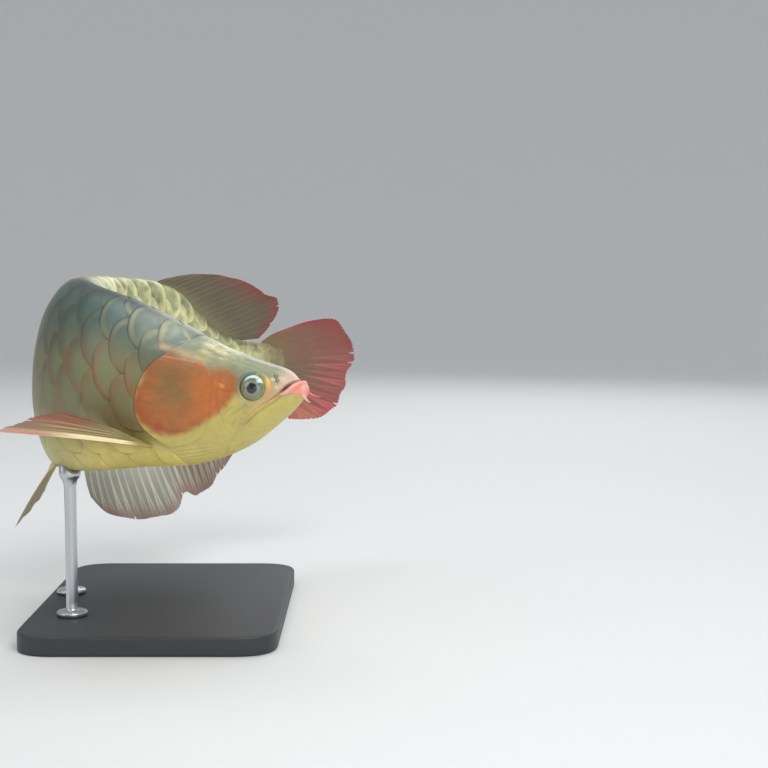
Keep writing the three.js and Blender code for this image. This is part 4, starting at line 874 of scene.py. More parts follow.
def build_scales(name, side, from_s, to_s):
    """The scales of one side whose tips lie between two shares of length."""
    across, along, reach = scale_outline()
    n = SCALE_CELLS + 1
    # Points of the outer edge in order, for the rim
    ring = [(0, j) for j in range(n)] + [(i, n - 1) for i in range(1, n)]
    ring += [(n - 1, j) for j in range(n - 2, -1, -1)] + [(i, 0) for i in range(n - 2, 0, -1)]
    ring = np.array([i * n + j for i, j in ring])
    m = len(ring)
    j = np.arange(m)
    k = (j + 1) % m
    local = np.stack([(across.ravel() + 1) / 2, (along.ravel() + 1) / 2], -1)
    local = np.vstack([local, local[ring], local[ring]])
    points, colours, bake, quads = [], [], [], []
    for row in range(0, 8) if side > 0 else range(-6, 0):
        for column in range(-4, 25):
            tip = column + (row % 2) * 0.5 + 0.06 * (chance(column + 40, row + 3) - 0.5)
            tip_s, tip_around = lattice_place(tip, float(row))
            tip_z = skin_point(tip_s, tip_around)[2] / LENGTH
            if tip_s < head_rear_at(tip_z) + 0.006 or not from_s <= tip_s < to_s:
                continue
            v = across * (1.03 * (1 + 0.03 * (chance(column, row + 9) - 0.5)))
            u = along * np.where(along > 0, 0.66, 0.62) - 0.66
            s, around = lattice_place(tip + u, row + v)
            s = np.minimum(s, TAIL_END - 0.002)
            # Height over the skin: highest at the rear edge, flatter on bare places and low rows
            big = mix(1.7, 0.75, smooth(0.45, 0.97, tip_s)) * mix(0.88, 1.12, chance(column, row + 20))
            big = big * (1 - 0.5 * smooth(0.97, 1.03, tip_s))
            low_row = float(smooth(4.2, 5.8, abs(row)))
            bare = bare_factor(tip_s, tip_z, abs(row)) * (1 - 0.60 * low_row)
            tilt = 0.25 * (chance(column + 7, row + 31) - 0.5)
            rise = big * bare * (1 + u / 1.75) + 0.25 * bare * (1 - reach ** 2) + tilt * across * bare
            rise = rise - 0.55 - 0.16 * smooth(0.86, 1.0, reach)
            # Under the head's rear edge the scale dips into the skin
            edge = (s - head_rear_at(skin_point(s, around)[..., 2] / LENGTH)) * LENGTH
            rise = mix(-2.6, rise, smooth(-3.0, 2.5, edge))
            top = skin_point(s, around, rise).reshape(-1, 3)
            inward = skin_point(*lattice_place(tip - 0.66, float(row))) - top[ring]
            inward = inward / np.linalg.norm(inward, axis=1, keepdims=True)
            thick = mix(0.55, 0.3, smooth(0.5, 1.0, tip_s)) * (1 - 0.3 * low_row)
            rim = s.ravel()[ring], around.ravel()[ring]
            low = skin_point(*rim, rise.ravel()[ring] - thick) + 0.12 * inward
            under = skin_point(*rim, rise.ravel()[ring] - thick * 1.15) + 1.6 * inward
            tint = scale_colour(column, row, s.ravel(), around.ravel(), across.ravel(),
                                ((along + 1) / 2).ravel(), reach.ravel(),
                                skin_point(s, around).reshape(-1, 3))
            count = len(points) * len(local)
            quads.append(grid_quads(n, n, count))
            for upper, lower in ((ring, n * n), (n * n + j, n * n + m)):
                quads.append(count + np.stack([upper[k], upper[j], lower + j, lower + k], -1))
            points.append(np.vstack([top, low, under]))
            # Sides and underside of each scale take a darker copy of its colour as painted shade under its
            # edge
            colours.append(np.vstack([tint, tint[ring] * 0.8, tint[ring] * 0.8]))
            root = bake_place(*lattice_place(tip - 1.0, float(row)))
            bake.append(root + 0.003 * (local - 0.5))
    return make_mesh(name, world(bent(np.vstack(points))), np.vstack(quads), None, np.vstack(colours),
                     {"ScaleUV": np.vstack([local] * len(points)), "OFBake": np.vstack(bake)})


BARE_SPOTS = [(0.228, -0.133, 0.030), (0.452, -0.216, 0.026), (0.400, -0.212, 0.030), (0.565, -0.222, 0.030)]


def bare_factor(s, z, down):
    bare = 1.0
    for bs, bz, reach in BARE_SPOTS:
        bare = min(bare, float(0.35 + 0.65 * smooth(0.3, 1.2, math.hypot(s - bs, z - bz) / reach)))
    if down < 0.8:
        bare = min(bare, float(0.8 - 0.45 * smooth(0.66, 0.72, s)))
    if down > 6.2:
        bare = min(bare, float(0.75 - 0.4 * smooth(0.55, 0.60, s)))
    return bare


def scale_colour(column, row, s, around, across, rearward, reach, place):
    """A scale: green field, red brown line inside its rear edge, cream margin on the rear body."""
    a = np.abs(wrapped(around))
    colour = body_colour(s, around, place) * (1 + 0.16 * (chance(column + 3, row + 55) - 0.5))
    colour = colour * (1 + 0.13 * cloudy(place, 4, seed=18))[..., None]
    rear = smooth(0.35, 0.80, rearward)
    ahead = 1 - smooth(0.46, 0.62, s)
    field = 1 - smooth(0.35, 0.85, reach)
    line = bump(reach, 0.915, 0.080 + 0.03 * cloudy(place, 6, seed=16)) * rear
    glow = bump(reach, 0.82, 0.18) * rear
    strong = bump(a, 0.50, 0.34) * ahead * mix(0.35, 1.0, chance(column, row))
    strong = strong * np.clip(0.80 + 0.9 * cloudy(place, 11, seed=15), 0.15, 1.15)
    strong = strong * (1 - 0.45 * smooth(0.30, 0.42, s))
    upper = bump(a, 0.14, 0.16) * ahead * (1 - smooth(0.26, 0.36, s))
    pale = smooth(0.42, 0.56, s)
    high = 1 - smooth(0.50, 0.85, a)
    stalk = 1 - 0.75 * smooth(0.86, 0.97, s)
    centre = 1 - smooth(0.25, 0.80, reach + 0.10 * across ** 2)
    depth = mix(0.30, 0.62, chance(column + 11, row + 5)) * stalk
    cream = mix(0.35, 1.0, chance(column + 5, row + 77)) * stalk
    colour = painted(
        colour,
        (122, 134, 92, 0.60 * field * bump(a, 0.48, 0.34) * ahead),
        (84, 112, 104, 0.40 * field * bump(a, 0.16, 0.18) * ahead),
        (142, 100, 60, 0.45 * strong * glow),
        (148, 82, 46, 0.85 * strong * line),
        # Grey blue scales with a pale ring on the nape
        (120, 132, 130, 0.45 * upper * field),
        (172, 172, 142, 0.60 * upper * glow),
        (156, 134, 88, 0.40 * (smooth(0.955, 1.0, reach) * rear) * ahead * smooth(0.16, 0.40, a)),
        # Rear of the body: grey green field in a cream margin
        (128, 136, 104, pale * high * depth * centre),
        (238, 234, 180, pale * rear * smooth(0.60, 0.92, reach) * cream * (0.25 + 0.40 * high)),
    )
    # Painted shade toward the root of each scale, under the rear edge of the scale ahead; less of it low on
    # the belly
    root = 1 - smooth(0.10, 0.45, rearward)
    return over(colour, colour * 0.45, 0.7 * root * (1 - 0.75 * smooth(0.74, 0.90, a)))


# Fins


def root_flesh(thick, reach):
    """Half thickness of the flesh at a fin's root, thinning out over a share of the fin."""
    return lambda v, w: thick * (1 - smooth(0.0, reach, w)) ** 1.5


def sheet_normals(sheet, axis):
    """Unit normals of a grid of points, on the side that an axis points to."""
    n = np.cross(np.gradient(sheet, axis=0), np.gradient(sheet, axis=1))
    n /= np.maximum(np.linalg.norm(n, axis=-1, keepdims=True), 1e-9)
    flip = np.sign(np.sum(n * np.asarray(axis), -1, keepdims=True))
    return n * np.where(flip == 0, 1, flip)


def build_fin(name, surface, rays, base, layers, rows=84, columns_each=14, axis=(0, 1, 0),
              bones=(1.4, 0.32, 0.6), skins=(0.55, 0.16, 0.5), flesh=None, notch=0.014, branch=0.5,
              carry=bent, ray_width=0.5, sunk=0.0, nose=0.015):
    """A fin: thin skin over rays that branch toward the edge.

    surface(v, w) gives points of its middle sheet, v across from the first ray to the last and
    w from root to tip. rays are their count and seed. bones and skins are half thicknesses of
    ray and skin at root and edge with the power between, flesh(v, w) that of the root."""
    count, seed = rays
    rays = np.linspace(0, 1, count)
    rays[1:-1] += (chance(np.arange(1, count - 1), seed) - 0.5) * 0.22 / count
    v = np.unique(np.concatenate([
        np.linspace(a, b, columns_each + 1) for a, b in zip(rays[:-1], rays[1:])
    ]))
    cell = np.clip(np.searchsorted(rays, v, side="right") - 1, 0, count - 2)
    local = (v - rays[cell]) / (rays[cell + 1] - rays[cell])
    vv, ww = np.meshgrid(v, mix(-sunk, 1.0, np.linspace(0, 1, rows) ** 0.95), indexing="ij")
    lo = np.broadcast_to(local[:, None], vv.shape)
    # Branches: each ray splits in two, then in four
    first = 0.25 * smooth(branch, 1.05, ww)
    second = 0.125 * smooth(branch + 0.22, 1.05, ww)
    near = np.full(vv.shape, 9.0)
    for offset in (-1, 1):
        for inner in (-1, 1):
            for at_ray in (0.0, 1.0):
                ray = cell[:, None] + at_ray
                centre = np.where((ray == 0) | (ray == count - 1), 0, offset * first + inner * second)
                near = np.minimum(near, np.abs(lo - at_ray - centre))
    width = ray_width * mix(0.36, 0.20, smooth(branch, 0.95, ww))
    ridge = np.clip(1 - (near / width) ** 2, 0, 1)
    ridge = ridge * (0.6 + 0.4 * ridge)
    # Edge: skin ends short of the branch tips, with a few small splits
    tipness = np.clip(1 - near[:, -1] / 0.13, 0, 1)
    uneven = mix(0.4, 1.6, chance(np.floor(cell * 4 + local * 4), count))
    short = notch * (1 - smooth(0.0, 0.9, tipness)) * uneven
    short = short + np.where(chance(cell, count + 3) > 0.80, 3.0 * notch * bump(local, 0.5, 0.14), 0)
    short = short + 0.5 * notch * (1 + np.sin(v * 41 + count))
    ww = ww * (1 - short[:, None])
    sheet = surface(vv, ww)
    skin, bone = (mix(a, b, np.maximum(ww, 0) ** power) for a, b, power in (skins, bones))
    half = np.maximum(skin + ridge * (bone - skin), (flesh or root_flesh(2.3, 0.22))(vv, ww))
    edge_thin = 1 - 0.55 * smooth(0.9, 1.0, ww / (1 - short[:, None]))
    to_side = np.clip(np.minimum(vv, 1 - vv) / nose, 0, 1)
    half = half * edge_thin * np.sqrt(np.clip(1 - (1 - to_side) ** 2, 0.01, 1))
    offset = sheet_normals(sheet, axis) * half[..., None]
    faces = [carry(face).reshape(-1, 3) for face in (sheet + offset, sheet - offset)]
    points = world(np.concatenate(faces))
    # Two faces joined round the outer edge
    n_v, n_w = vv.shape
    front = grid_quads(n_v, n_w)
    ring = np.concatenate([
        np.arange(n_w), np.arange(1, n_v) * n_w + n_w - 1,
        (n_v - 1) * n_w + np.arange(n_w - 2, -1, -1), np.arange(n_v - 2, 0, -1) * n_w,
    ])
    after = np.roll(ring, -1)
    side = np.stack([after, ring, ring + n_v * n_w, after + n_v * n_w], -1)
    quads = np.vstack([front, front[:, ::-1] + n_v * n_w, side])
    # Colour in layers, rays brighter or duller by chance
    shown = ridge * (0.35 + 0.65 * chance(cell + np.where(local > 0.5, 1, 0), count + 9))[:, None]
    drift, fine = cloudy(sheet, 14, seed=5), cloudy(sheet, 3, seed=6, octaves=2)
    tint = painted(linear(*base), *layers(vv, ww + 0.05 * drift, shown))
    tint = (tint * (1 + 0.08 * drift + 0.05 * fine)[..., None]).reshape(-1, 3)
    uv = np.stack([vv.ravel(), ww.ravel()], -1)
    return make_mesh(name, points, quads, None, np.vstack([tint, tint]), {"FinUV": np.vstack([uv, uv])})


def middle_fin_surface(start, end, root_at, tips, lean, seed, waves):
    """Sheet of a fin on the middle line, from its root to a line of tips (v, length, height)."""
    knots = np.array([t[0] for t in tips])
    line = np.array([[t[1], t[2]] for t in tips])

    def surface(v, w):
        tip = spline_point(line, np.interp(v, knots, np.arange(len(knots)) / (len(knots) - 1)))
        rs, rz = root_at(mix(start, end, v))
        middle_x = (rs + tip[..., 0]) / 2 + lean[0] * (1 - v)
        middle_z = (rz + tip[..., 1]) / 2 + lean[1] * (1 - v)
        a, b, c = (1 - w) ** 2, 2 * w * (1 - w), w * w
        x = a * rs + b * middle_x + c * tip[..., 0]
        z = a * rz + b * middle_z + c * tip[..., 1]
        size, turns = waves
        y = size * w * w * np.sin(turns * math.pi * v + 0.6)
        y = y + 0.8 * w ** 2 * np.sin(23 * v + seed) + 0.5 * w ** 3 * np.sin(47 * v + 2 * seed)
        return np.stack([x * LENGTH, y, z * LENGTH], -1)

    return surface


def build_middle_fins():
    """Dorsal, anal and tail fin."""
    pieces = {}
    tips = [
        (0, 0.768, 0.0880), (0.1, 0.808, 0.0965), (0.25, 0.862, 0.0995), (0.45, 0.920, 0.0925),
        (0.62, 0.962, 0.0760), (0.77, 0.997, 0.0670), (0.87, 1.003, 0.0440), (0.94, 0.990, 0.0160),
        (1, 0.968, -0.0070),
    ]
    surface = middle_fin_surface(0.715, 0.905, lambda s: (s, back_at(s) - SUNK), tips,
                                 (-0.004, 0.004), 1.0, (3.5, 2.2))
    pieces["dorsal_fin"] = build_fin("dorsal", surface, (20, 4), (108, 98, 76), lambda v, w, r: (
        (132, 128, 92, 0.6 * (1 - smooth(0.0, 0.35, w))),
        (122, 72, 60, 0.70 * smooth(0.50, 0.90, w) * smooth(0.0, 0.5, v)),
        (138, 52, 54, 0.80 * smooth(0.72, 1.0, w) * smooth(0.30, 0.65, v)),
        (148, 40, 46, 0.75 * smooth(0.90, 1.0, w) * smooth(0.05, 0.3, v)),
        (84, 76, 58, 0.30 * (1 - r) * smooth(0.1, 0.4, w)),
        (150, 124, 96, 0.35 * r * (1 - 0.6 * w)),
    ))
    tips = [
        (0, 0.652, -0.2980), (0.08, 0.695, -0.3270), (0.18, 0.745, -0.3390), (0.3, 0.793, -0.3370),
        (0.42, 0.834, -0.3210), (0.5, 0.846, -0.2900), (0.58, 0.874, -0.2960), (0.7, 0.908, -0.2740),
        (0.84, 0.936, -0.2440), (0.93, 0.953, -0.2180), (1, 0.960, -0.1940),
    ]
    surface = middle_fin_surface(0.605, 0.925, lambda s: (s, belly_at(s) + SUNK), tips,
                                 (-0.010, -0.003), 2.0, (4, 2.6))
    pieces["anal_fin"] = build_fin("anal", surface, (27, 8), (206, 206, 188), lambda v, w, r: (
        (214, 206, 168, 0.6 * (1 - smooth(0.0, 0.25, w))),
        (118, 112, 94, 0.50 * smooth(0.1, 0.5, w) * (1 - r)),
        (172, 130, 122, 0.65 * smooth(0.74, 0.98, w)),
        (118, 88, 72, 0.80 * smooth(0.36, 0.66, v) * (1 - 0.35 * r)),
        (234, 230, 212, 0.72 * r * (1 - smooth(0.75, 1.0, w)) * (1 - 0.45 * smooth(0.45, 0.7, v))),
        (224, 224, 212, 0.45 * bump(v, 0.34, 0.2) * bump(w, 0.35, 0.4)),
    ))
    tips = [
        (0, 1.030, 0.0140), (0.08, 1.090, 0.0350), (0.18, 1.152, 0.0398), (0.29, 1.184, 0.0140),
        (0.42, 1.209, -0.0250), (0.56, 1.190, -0.0640), (0.70, 1.182, -0.1000), (0.82, 1.166, -0.1290),
        (0.91, 1.130, -0.1470), (1, 1.066, -0.1540),
    ]

    def tail_root(v):
        s = 0.9975 - 0.30 * np.maximum(0, -v)
        return s, mix(back_at(s) - 0.0030, belly_at(s) + 0.0015, np.maximum(0, v))

    plain = middle_fin_surface(-0.10, 1, tail_root, tips, (-0.003, 0.006), 3.0, (4, 1.7))

    def tail_surface(v, w):
        p = plain(v, w)
        tip = plain(v, np.ones_like(w))
        p[..., 2] += 2 * w * (1 - w) * (tip[..., 2] + 0.0525 * LENGTH) * 0.05
        return p

    def tail_flesh(v, w):
        high = np.sqrt(np.maximum(0.08, 1 - (2 * v - 1) ** 2))
        return half_at(1.0) * LENGTH * 0.72 * high * (1 - smooth(0, 0.32, w)) ** 1.5

    pieces["caudal_fin"] = build_fin("caudal", tail_surface, (17, 2), (134, 94, 74), lambda v, w, r: (
        (126, 108, 74, 0.85 * (1 - smooth(0.08, 0.42, w))),
        (150, 78, 70, 0.75 * smooth(0.45, 0.85, w)),
        (160, 52, 62, 0.75 * (1 - smooth(0.10, 0.30, v)) * smooth(0.55, 0.85, w)),
        (134, 62, 66, 0.50 * smooth(0.84, 1.0, w)),
        (188, 116, 84, 0.80 * smooth(0.84, 0.93, v) * smooth(0.1, 0.4, w)),
        (204, 84, 92, 0.75 * smooth(0.972, 1.0, v) * smooth(0.1, 0.4, w)),
        (196, 62, 74, 0.60 * bump(v, 0.83, 0.09) * smooth(0.75, 1.0, w)),
        (120, 108, 84, 0.45 * bump(v, 0.56, 0.12) * bump(w, 0.45, 0.3)),
        (224, 128, 130, 0.55 * r * smooth(0.35, 0.65, w) * smooth(0.35, 0.5, v)),
    ), 96, 18, bones=(1.4, 0.32, 0.5), flesh=tail_flesh, notch=0.018, branch=0.42)
    return pieces


def paired_surface(side, root, chord, first, last, long, short, curl, droop):
    """Sheet of a paired fin between the ways of its first and last ray, and its normal."""
    e1 = np.array(first, float) / np.linalg.norm(first)
    e2 = np.array(last, float) / np.linalg.norm(last)
    normal = np.cross(e1, e2)
    normal /= np.linalg.norm(normal)
    along_root = e2 - e1 * (e1 @ e2)
    along_root /= np.linalg.norm(along_root)

    def surface(v, w):
        way = (1 - v)[..., None] * e1 + v[..., None] * e2
        way /= np.linalg.norm(way, axis=-1, keepdims=True)
        reach = mix(long, short, v ** 0.8)[..., None]
        start = np.array(root) + along_root * (chord * (v - 0.5))[..., None]
        middle = start + way * reach * 0.5 - along_root * curl * reach
        tip = start + way * reach + along_root * curl * reach * 0.6
        t = w[..., None]
        p = (1 - t) ** 2 * start + 2 * t * (1 - t) * middle + t * t * tip
        sag = droop * w * w * (1 - 0.45 * v) * (1 + 0.25 * np.sin(5 * v))
        sag = sag + 0.5 * w ** 2 * np.sin(17 * v + 1)
        return (p + normal * sag[..., None]) * np.array([1, side, 1])

    return surface, normal * np.array([1, side, 1])


def build_pair(name, place, inset, chord, rays, base, layers, sides, **shape):
    """A right and a left fin. sides has first and last ray's way, lengths, curl and droop."""
    pieces = {}
    s, z = place
    root = (s * LENGTH, float(flank(s, z * LENGTH)) - inset, z * LENGTH)
    for label, side in SIDES:
        surface, normal = paired_surface(side, root, chord, *sides[label])
        pieces[f"{name}_fin_{label}"] = build_fin(
            f"{name}_{label}", surface, (rays[0], rays[1] + side), base, layers, columns_each=26,
            axis=normal, branch=0.45, carry=lambda p: carried(p, root[0]), ray_width=0.42, sunk=0.07,
            nose=0.075, **shape)
    return pieces


def build_paired_fins():
    """Pectoral and pelvic fins."""
    def pectoral_flesh(v, w):
        leading = (1 - smooth(0.0, 0.12, v)) * smooth(-0.02, 0.20, w) * mix(0.9, 0.3, np.maximum(w, 0))
        return 1.5 * (1 - smooth(0, 0.2, w)) ** 1.5 + leading

    pectoral = build_pair(
        "pectoral", PECTORAL_AT, 3.5, 19, (8, 6), (132, 108, 74), lambda v, w, r: (
            (142, 130, 84, 0.9 * (1 - smooth(0.25, 0.75, w))),
            (140, 76, 60, 0.80 * smooth(0.48, 0.80, w) * smooth(0.30, 0.6, v)),
            (214, 196, 146, 0.75 * r * smooth(0.15, 0.35, w) * (1 - smooth(0.35, 0.75, v))
             * (1 - smooth(0.6, 1.0, w))),
            (110, 98, 62, 0.45 * bump(v, 0.235, 0.08) * smooth(0.05, 0.2, w)),
            (255, 236, 186, (1 - 0.8 * smooth(0.45, 0.85, w)) * (1 - smooth(0.16, 0.25, v))
             * smooth(0.04, 0.22, w)),
            (204, 140, 122, 0.85 * smooth(0.50, 0.80, w) * (1 - smooth(0.10, 0.28, v))),
            (172, 152, 88, 0.95 * (1 - smooth(0.03, 0.20, w))),
        ), {
            "right": ((0.42, 0.90, 0.150), (0.86, 0.46, 0.26), 136, 60, 0.08, 15),
            "left": ((0.62, 0.75, -0.16), (0.93, 0.30, -0.16), 138, 52, 0.045, -8),
        }, rows=90, bones=(1.3, 0.30, 0.8), skins=(0.45, 0.16, 0.6), flesh=pectoral_flesh, notch=0.012)
    pelvic = build_pair(
        "pelvic", PELVIC_AT, 2.6, 13, (6, 12), (190, 178, 138), lambda v, w, r: (
            (206, 188, 118, 0.7 * (1 - smooth(0.0, 0.35, w))),
            (196, 170, 152, 0.6 * smooth(0.45, 0.9, w)),
            (236, 226, 190, 0.45 * r),
        ), {
            "right": ((0.30, 0.36, -0.88), (0.60, 0.14, -0.78), 70, 42, 0.09, 2),
            "left": ((0.90, 0.34, -0.26), (0.96, 0.26, -0.06), 70, 42, 0.03, -1.5),
        }, rows=70, bones=(1.1, 0.30, 0.8), skins=(0.4, 0.16, 0.6), flesh=root_flesh(2.2, 0.2), notch=0.016)
    return {**pectoral, **pelvic}


# Eyes, nostrils and barbels


def build_eye(side, label):
    """An eyeball with a bulging front, iris and pupil; its own y is the way it looks."""
    rings, sides = 72, 96
    polar = np.linspace(0, math.pi, rings)[:, None]
    turn = np.linspace(0, 2 * math.pi, sides, endpoint=False)[None, :]
    out, radial = np.cos(polar) + 0 * turn, np.sin(polar) + 0 * turn
    x, z = np.sin(polar) * np.cos(turn), np.sin(polar) * np.sin(turn)
    front = out > 0
    # The iris is a shallow dish under the clear front, so the front bulges a little.
    swell = 1 + 0.05 * bump(radial, 0.0, 0.62) * front
    p = np.stack([EYE_RADIUS * x, EYE_DEPTH_RADIUS * out * swell * side, EYE_RADIUS * z], -1) * 0.985
    a = math.radians(EYE_TURN) * side
    p = np.stack([
        p[..., 0] * math.cos(a) - p[..., 1] * math.sin(a),
        p[..., 0] * math.sin(a) + p[..., 1] * math.cos(a), p[..., 2],
    ], -1)
    level = EYE_AT[1] * LENGTH
    across = float(flank(EYE_AT[0], level)) - EYE_MIDDLE_IN
    p = p + np.array([EYE_AT[0] * LENGTH, side * across, level])
    streak = cloudy(np.stack([np.arctan2(z, x) * 6, radial * 5, 0 * x], -1), 1.0, seed=31)
    mottled = cloudy(np.stack([x * 9 + 20, z * 9, out * 9], -1), 2.0, seed=32)
    up = z / np.maximum(radial, 1e-6)
    pupil = radial * np.where(np.abs(z) > np.abs(x), 0.95, 1.0) + 0.03 * mottled
    colour = painted(
        linear(132, 140, 114),
        (102, 110, 90, 0.6 * bump(radial, 0.66, 0.16) + 0.25 * mottled),
        (86, 94, 78, 0.40 * np.clip(streak, 0, 1)),
        (150, 158, 130, 0.25 * bump(radial, 0.43, 0.06)),
        (150, 150, 106, 0.6 * bump(radial, 0.78, 0.16) * smooth(0.1, 0.6, -z)),
        (74, 96, 88, 0.55 * bump(radial, 0.60, 0.16) * smooth(0.35, 0.7, up)),
        # Painted reflection: a pale cyan crescent across the upper iris
        (196, 240, 226, 0.95 * (bump(radial, 0.79, 0.13) * smooth(0.42, 0.78, up))),
        (48, 50, 44, 0.80 * smooth(0.86, 0.94, radial)),
        (10, 14, 22, 1 - smooth(0.335, 0.40, pupil)),
        (60, 60, 52, 1 - front),
    )
    quads = grid_quads(rings, sides, wrap=True)
    return make_mesh(f"eye_{label}_ball", world(bent(p)).reshape(-1, 3),
                     quads[:, ::-1] if side > 0 else quads, None, colour.reshape(-1, 3))


def tube_mesh(paths, radii_list, sides=20):
    """Rings round each path, joined: points and quads, in straight fish space."""
    points, quads, count = [], [], 0
    for path, radii in zip(paths, radii_list):
        path = np.asarray(path, float)
        along = np.gradient(path, axis=0)
        along /= np.linalg.norm(along, axis=1, keepdims=True)
        helper = np.where(np.abs(along[:, 2:3]) < 0.9, [[0, 0, 1.0]], [[1.0, 0, 0]])
        e1 = np.cross(helper, along)
        e1 /= np.linalg.norm(e1, axis=1, keepdims=True)
        e2 = np.cross(along, e1)
        t = np.linspace(0, 2 * math.pi, sides, endpoint=False)
        rings = path[:, None] + np.asarray(radii)[:, None, None] * (
            np.cos(t)[None, :, None] * e1[:, None] + np.sin(t)[None, :, None] * e2[:, None])
        points.append(rings.reshape(-1, 3))
        quads.append(grid_quads(len(path), sides, count, wrap=True)[:, ::-1])
        count += len(path) * sides
    return np.vstack(points), np.vstack(quads)


def build_nostrils():
    """A short tube round each nostril."""
    depths = [-1.5, 0.0, 0.55, 0.80, 0.82, 0.70, 0.2, -0.6, -0.8]
    sizes = [1.30, 1.12, 1.02, 0.96, 0.88, 0.80, 0.72, 0.60, 0.02]
    paths, radii = [], []
    for _, side in SIDES:
        for s, z, radius in NOSTRILS:
            at = np.array([s * LENGTH, side * float(flank(s, z * LENGTH)), z * LENGTH])
            at = at + snout_shift(np.float64(s), 1.0)
            out = np.array([-0.25, side * 0.85, 0.45])
            out /= np.linalg.norm(out)
            paths.append([at + out * d for d in depths])
            radii.append([radius * k for k in sizes])
    points, quads = tube_mesh(paths, radii, 24)
    ring = np.tile(np.repeat(np.arange(len(depths)), 24), len(paths))
    # The deeper rings of each tube get painted shade
    colour = painted(linear(178, 176, 146), (*PIT_SHADE, smooth(3.2, 4.6, ring)))
    return make_mesh("nostrils", world(bent(points)), quads, None, colour)


def build_barbel(side, label):
    """A chin barbel that bends down and tapers to a point."""
    z, reach = (-0.0250, (8.0, 5.0, -2.6)) if side > 0 else (-0.0200, (9.5, 2.5, -1.4))
    root = np.array([-0.0030 * LENGTH, side * 3.4, z * LENGTH])
    far = root + np.array([-reach[0], side * reach[1], reach[2]])
    knots = np.array([
        root + np.array([3, -side * 1.5, 2]), root, (root + far) / 2 - np.array([0, 0, 0.8]), far,
    ])
    t = np.linspace(0, 1, 40)
    path = np.stack([np.interp(t, np.linspace(0, 1, 4), knots[:, k]) for k in range(3)], -1)
    for _ in range(12):
        path[1:-1] = (path[:-2] + 2 * path[1:-1] + path[2:]) / 4
    radii = mix(2.1, 0.6, t ** 0.6) * (1 + 0.04 * np.sin(t * 60)) * np.sqrt(np.clip(1 - t ** 14, 0.0, 1))
    radii[-1] = 0.03
    points, quads = tube_mesh([path], [radii], 28)
    near, end = ((238, 196, 178), (224, 150, 140)) if side > 0 else ((228, 112, 100), (200, 84, 78))
    colour = painted(linear(*near), (*end, smooth(0.2, 0.9, np.repeat(t, 28))))
    return make_mesh(f"barbel_{label}_skin", world(bent(points)), quads, None, colour)


# Stand


def build_base():
    """Board with rounded corners and a soft edge above and below."""
    def outline(inset):
        w, d, r = BASE_WIDE / 2 - inset, BASE_DEEP / 2 - inset, BASE_CORNER
        points = []
        for cx, cy in ((1, 1), (-1, 1), (-1, -1), (1, -1)):
            corner = np.array([cx * w, cy * d])
            ends = [corner - np.array([0, cy * r]), corner - np.array([cx * r, 0])]
            start, end = ends if cx == cy else ends[::-1]
            for t in np.linspace(0, 1, 24):
                points.append((1 - t) ** 2 * start + 2 * t * (1 - t) * corner + t * t * end)
        return np.array(points)

    layers = [(outline(BASE_EDGE) * share, 0.0) for share in (0.01, 0.5)]
    for t in np.linspace(0, math.pi / 2, 6):
        layers.append((outline(BASE_EDGE * (1 - math.sin(t))), BASE_EDGE * (1 - math.cos(t))))
    for t in np.linspace(0, math.pi / 2, 8):
        layers.append((outline(BASE_EDGE * (1 - math.cos(t))), BASE_HIGH - BASE_EDGE * (1 - math.sin(t))))
    layers += [(outline(BASE_EDGE) * share, BASE_HIGH) for share in (0.96, 0.6, 0.2, 0.01)]
    points = np.vstack([np.column_stack([flat, np.full(len(flat), high)]) for flat, high in layers])
    return make_mesh("stand_board", points * 0.001, grid_quads(len(layers), len(layers[0][0]), wrap=True))


def turned(profile, sides, at=(0.0, 0.0)):
    """Rings of points round an upright axis, from radii and heights."""
    t = np.linspace(0, 2 * math.pi, sides, endpoint=False)
    return [np.column_stack([at[0] + r * np.cos(t), at[1] + r * np.sin(t), np.full(sides, high)])
            for r, high in profile]


# Points of the underside above the rods, in millimetres
UNDERSIDE = world(bent(skin_point(
    *np.meshgrid(np.linspace(0.34, 0.64, 300), np.linspace(0.8, 1.2, 121), indexing="ij"), -0.2,
))).reshape(-1, 3) * 1000


def belly_height(x, y):
    """Height of the underside over a point of the floor plan, in millimetres."""
    d = np.hypot(UNDERSIDE[:, 0] - x, UNDERSIDE[:, 1] - y)
    near = np.argsort(d)[:4]
    weight = 1 / (d[near] + 0.2)
    return float((UNDERSIDE[near, 2] * weight).sum() / weight.sum())


def build_rod(share, name):
    """Rod with a foot on the board and a cup that follows the belly at a share of length."""
    under = world(bent(np.array([share * LENGTH, 0.0, float(belly_at(share)) * LENGTH]))) * 1000
    foot = BASE_HIGH + GAP
    high = under[2] - foot
    profile = [
        (0.01, 0.0), (12.6, 0.0), (13.0, 0.4), (13.0, 2.8), (12.7, 3.5), (12.0, 4.0), (7.0, 4.3),
        (5.6, 5.0), (5.0, 6.6), (5.0, 12.0), (5.0, high * 0.3), (5.0, high * 0.6), (5.0, high - 15.0),
        (5.2, high - 13.0), (6.2, high - 8.5), (8.0, high - 5.4), (8.8, high - 4.0), (9.0, high - 2.8),
        (9.0, high + 2.0),
    ]
    sides = 64
    rings = turned([(r, foot + h) for r, h in profile], sides, under)
    rim = rings[-1]
    rim[:, 2] = [belly_height(x, y) - 0.5 for x, y in rim[:, :2]]
    inner = rim.copy()
    inner[:, :2] = under[:2] + (rim[:, :2] - under[:2]) * 0.1
    rings.append(inner)
    return make_mesh(name, np.vstack(rings) * 0.001, grid_quads(len(rings), sides, wrap=True))


# Materials


def new_material(name):
    material = bpy.data.materials.new(name)
    material.use_nodes = True
    return material, material.node_tree, material.node_tree.nodes["Principled BSDF"]


def feed(tree, made, inputs):
    """Links each input of a node to a socket, or sets it to a value."""
    for key, value in inputs.items():
        if isinstance(value, bpy.types.NodeSocket):
            tree.links.new(value, made.inputs[key])
        else:
            made.inputs[key].default_value = value


def node(tree, kind, inputs, **settings):
    """A new shader node's outputs."""
    made = tree.nodes.new("ShaderNode" + kind)
    for key, value in settings.items():
        setattr(made, key, value)
    feed(tree, made, inputs)
    return made.outputs


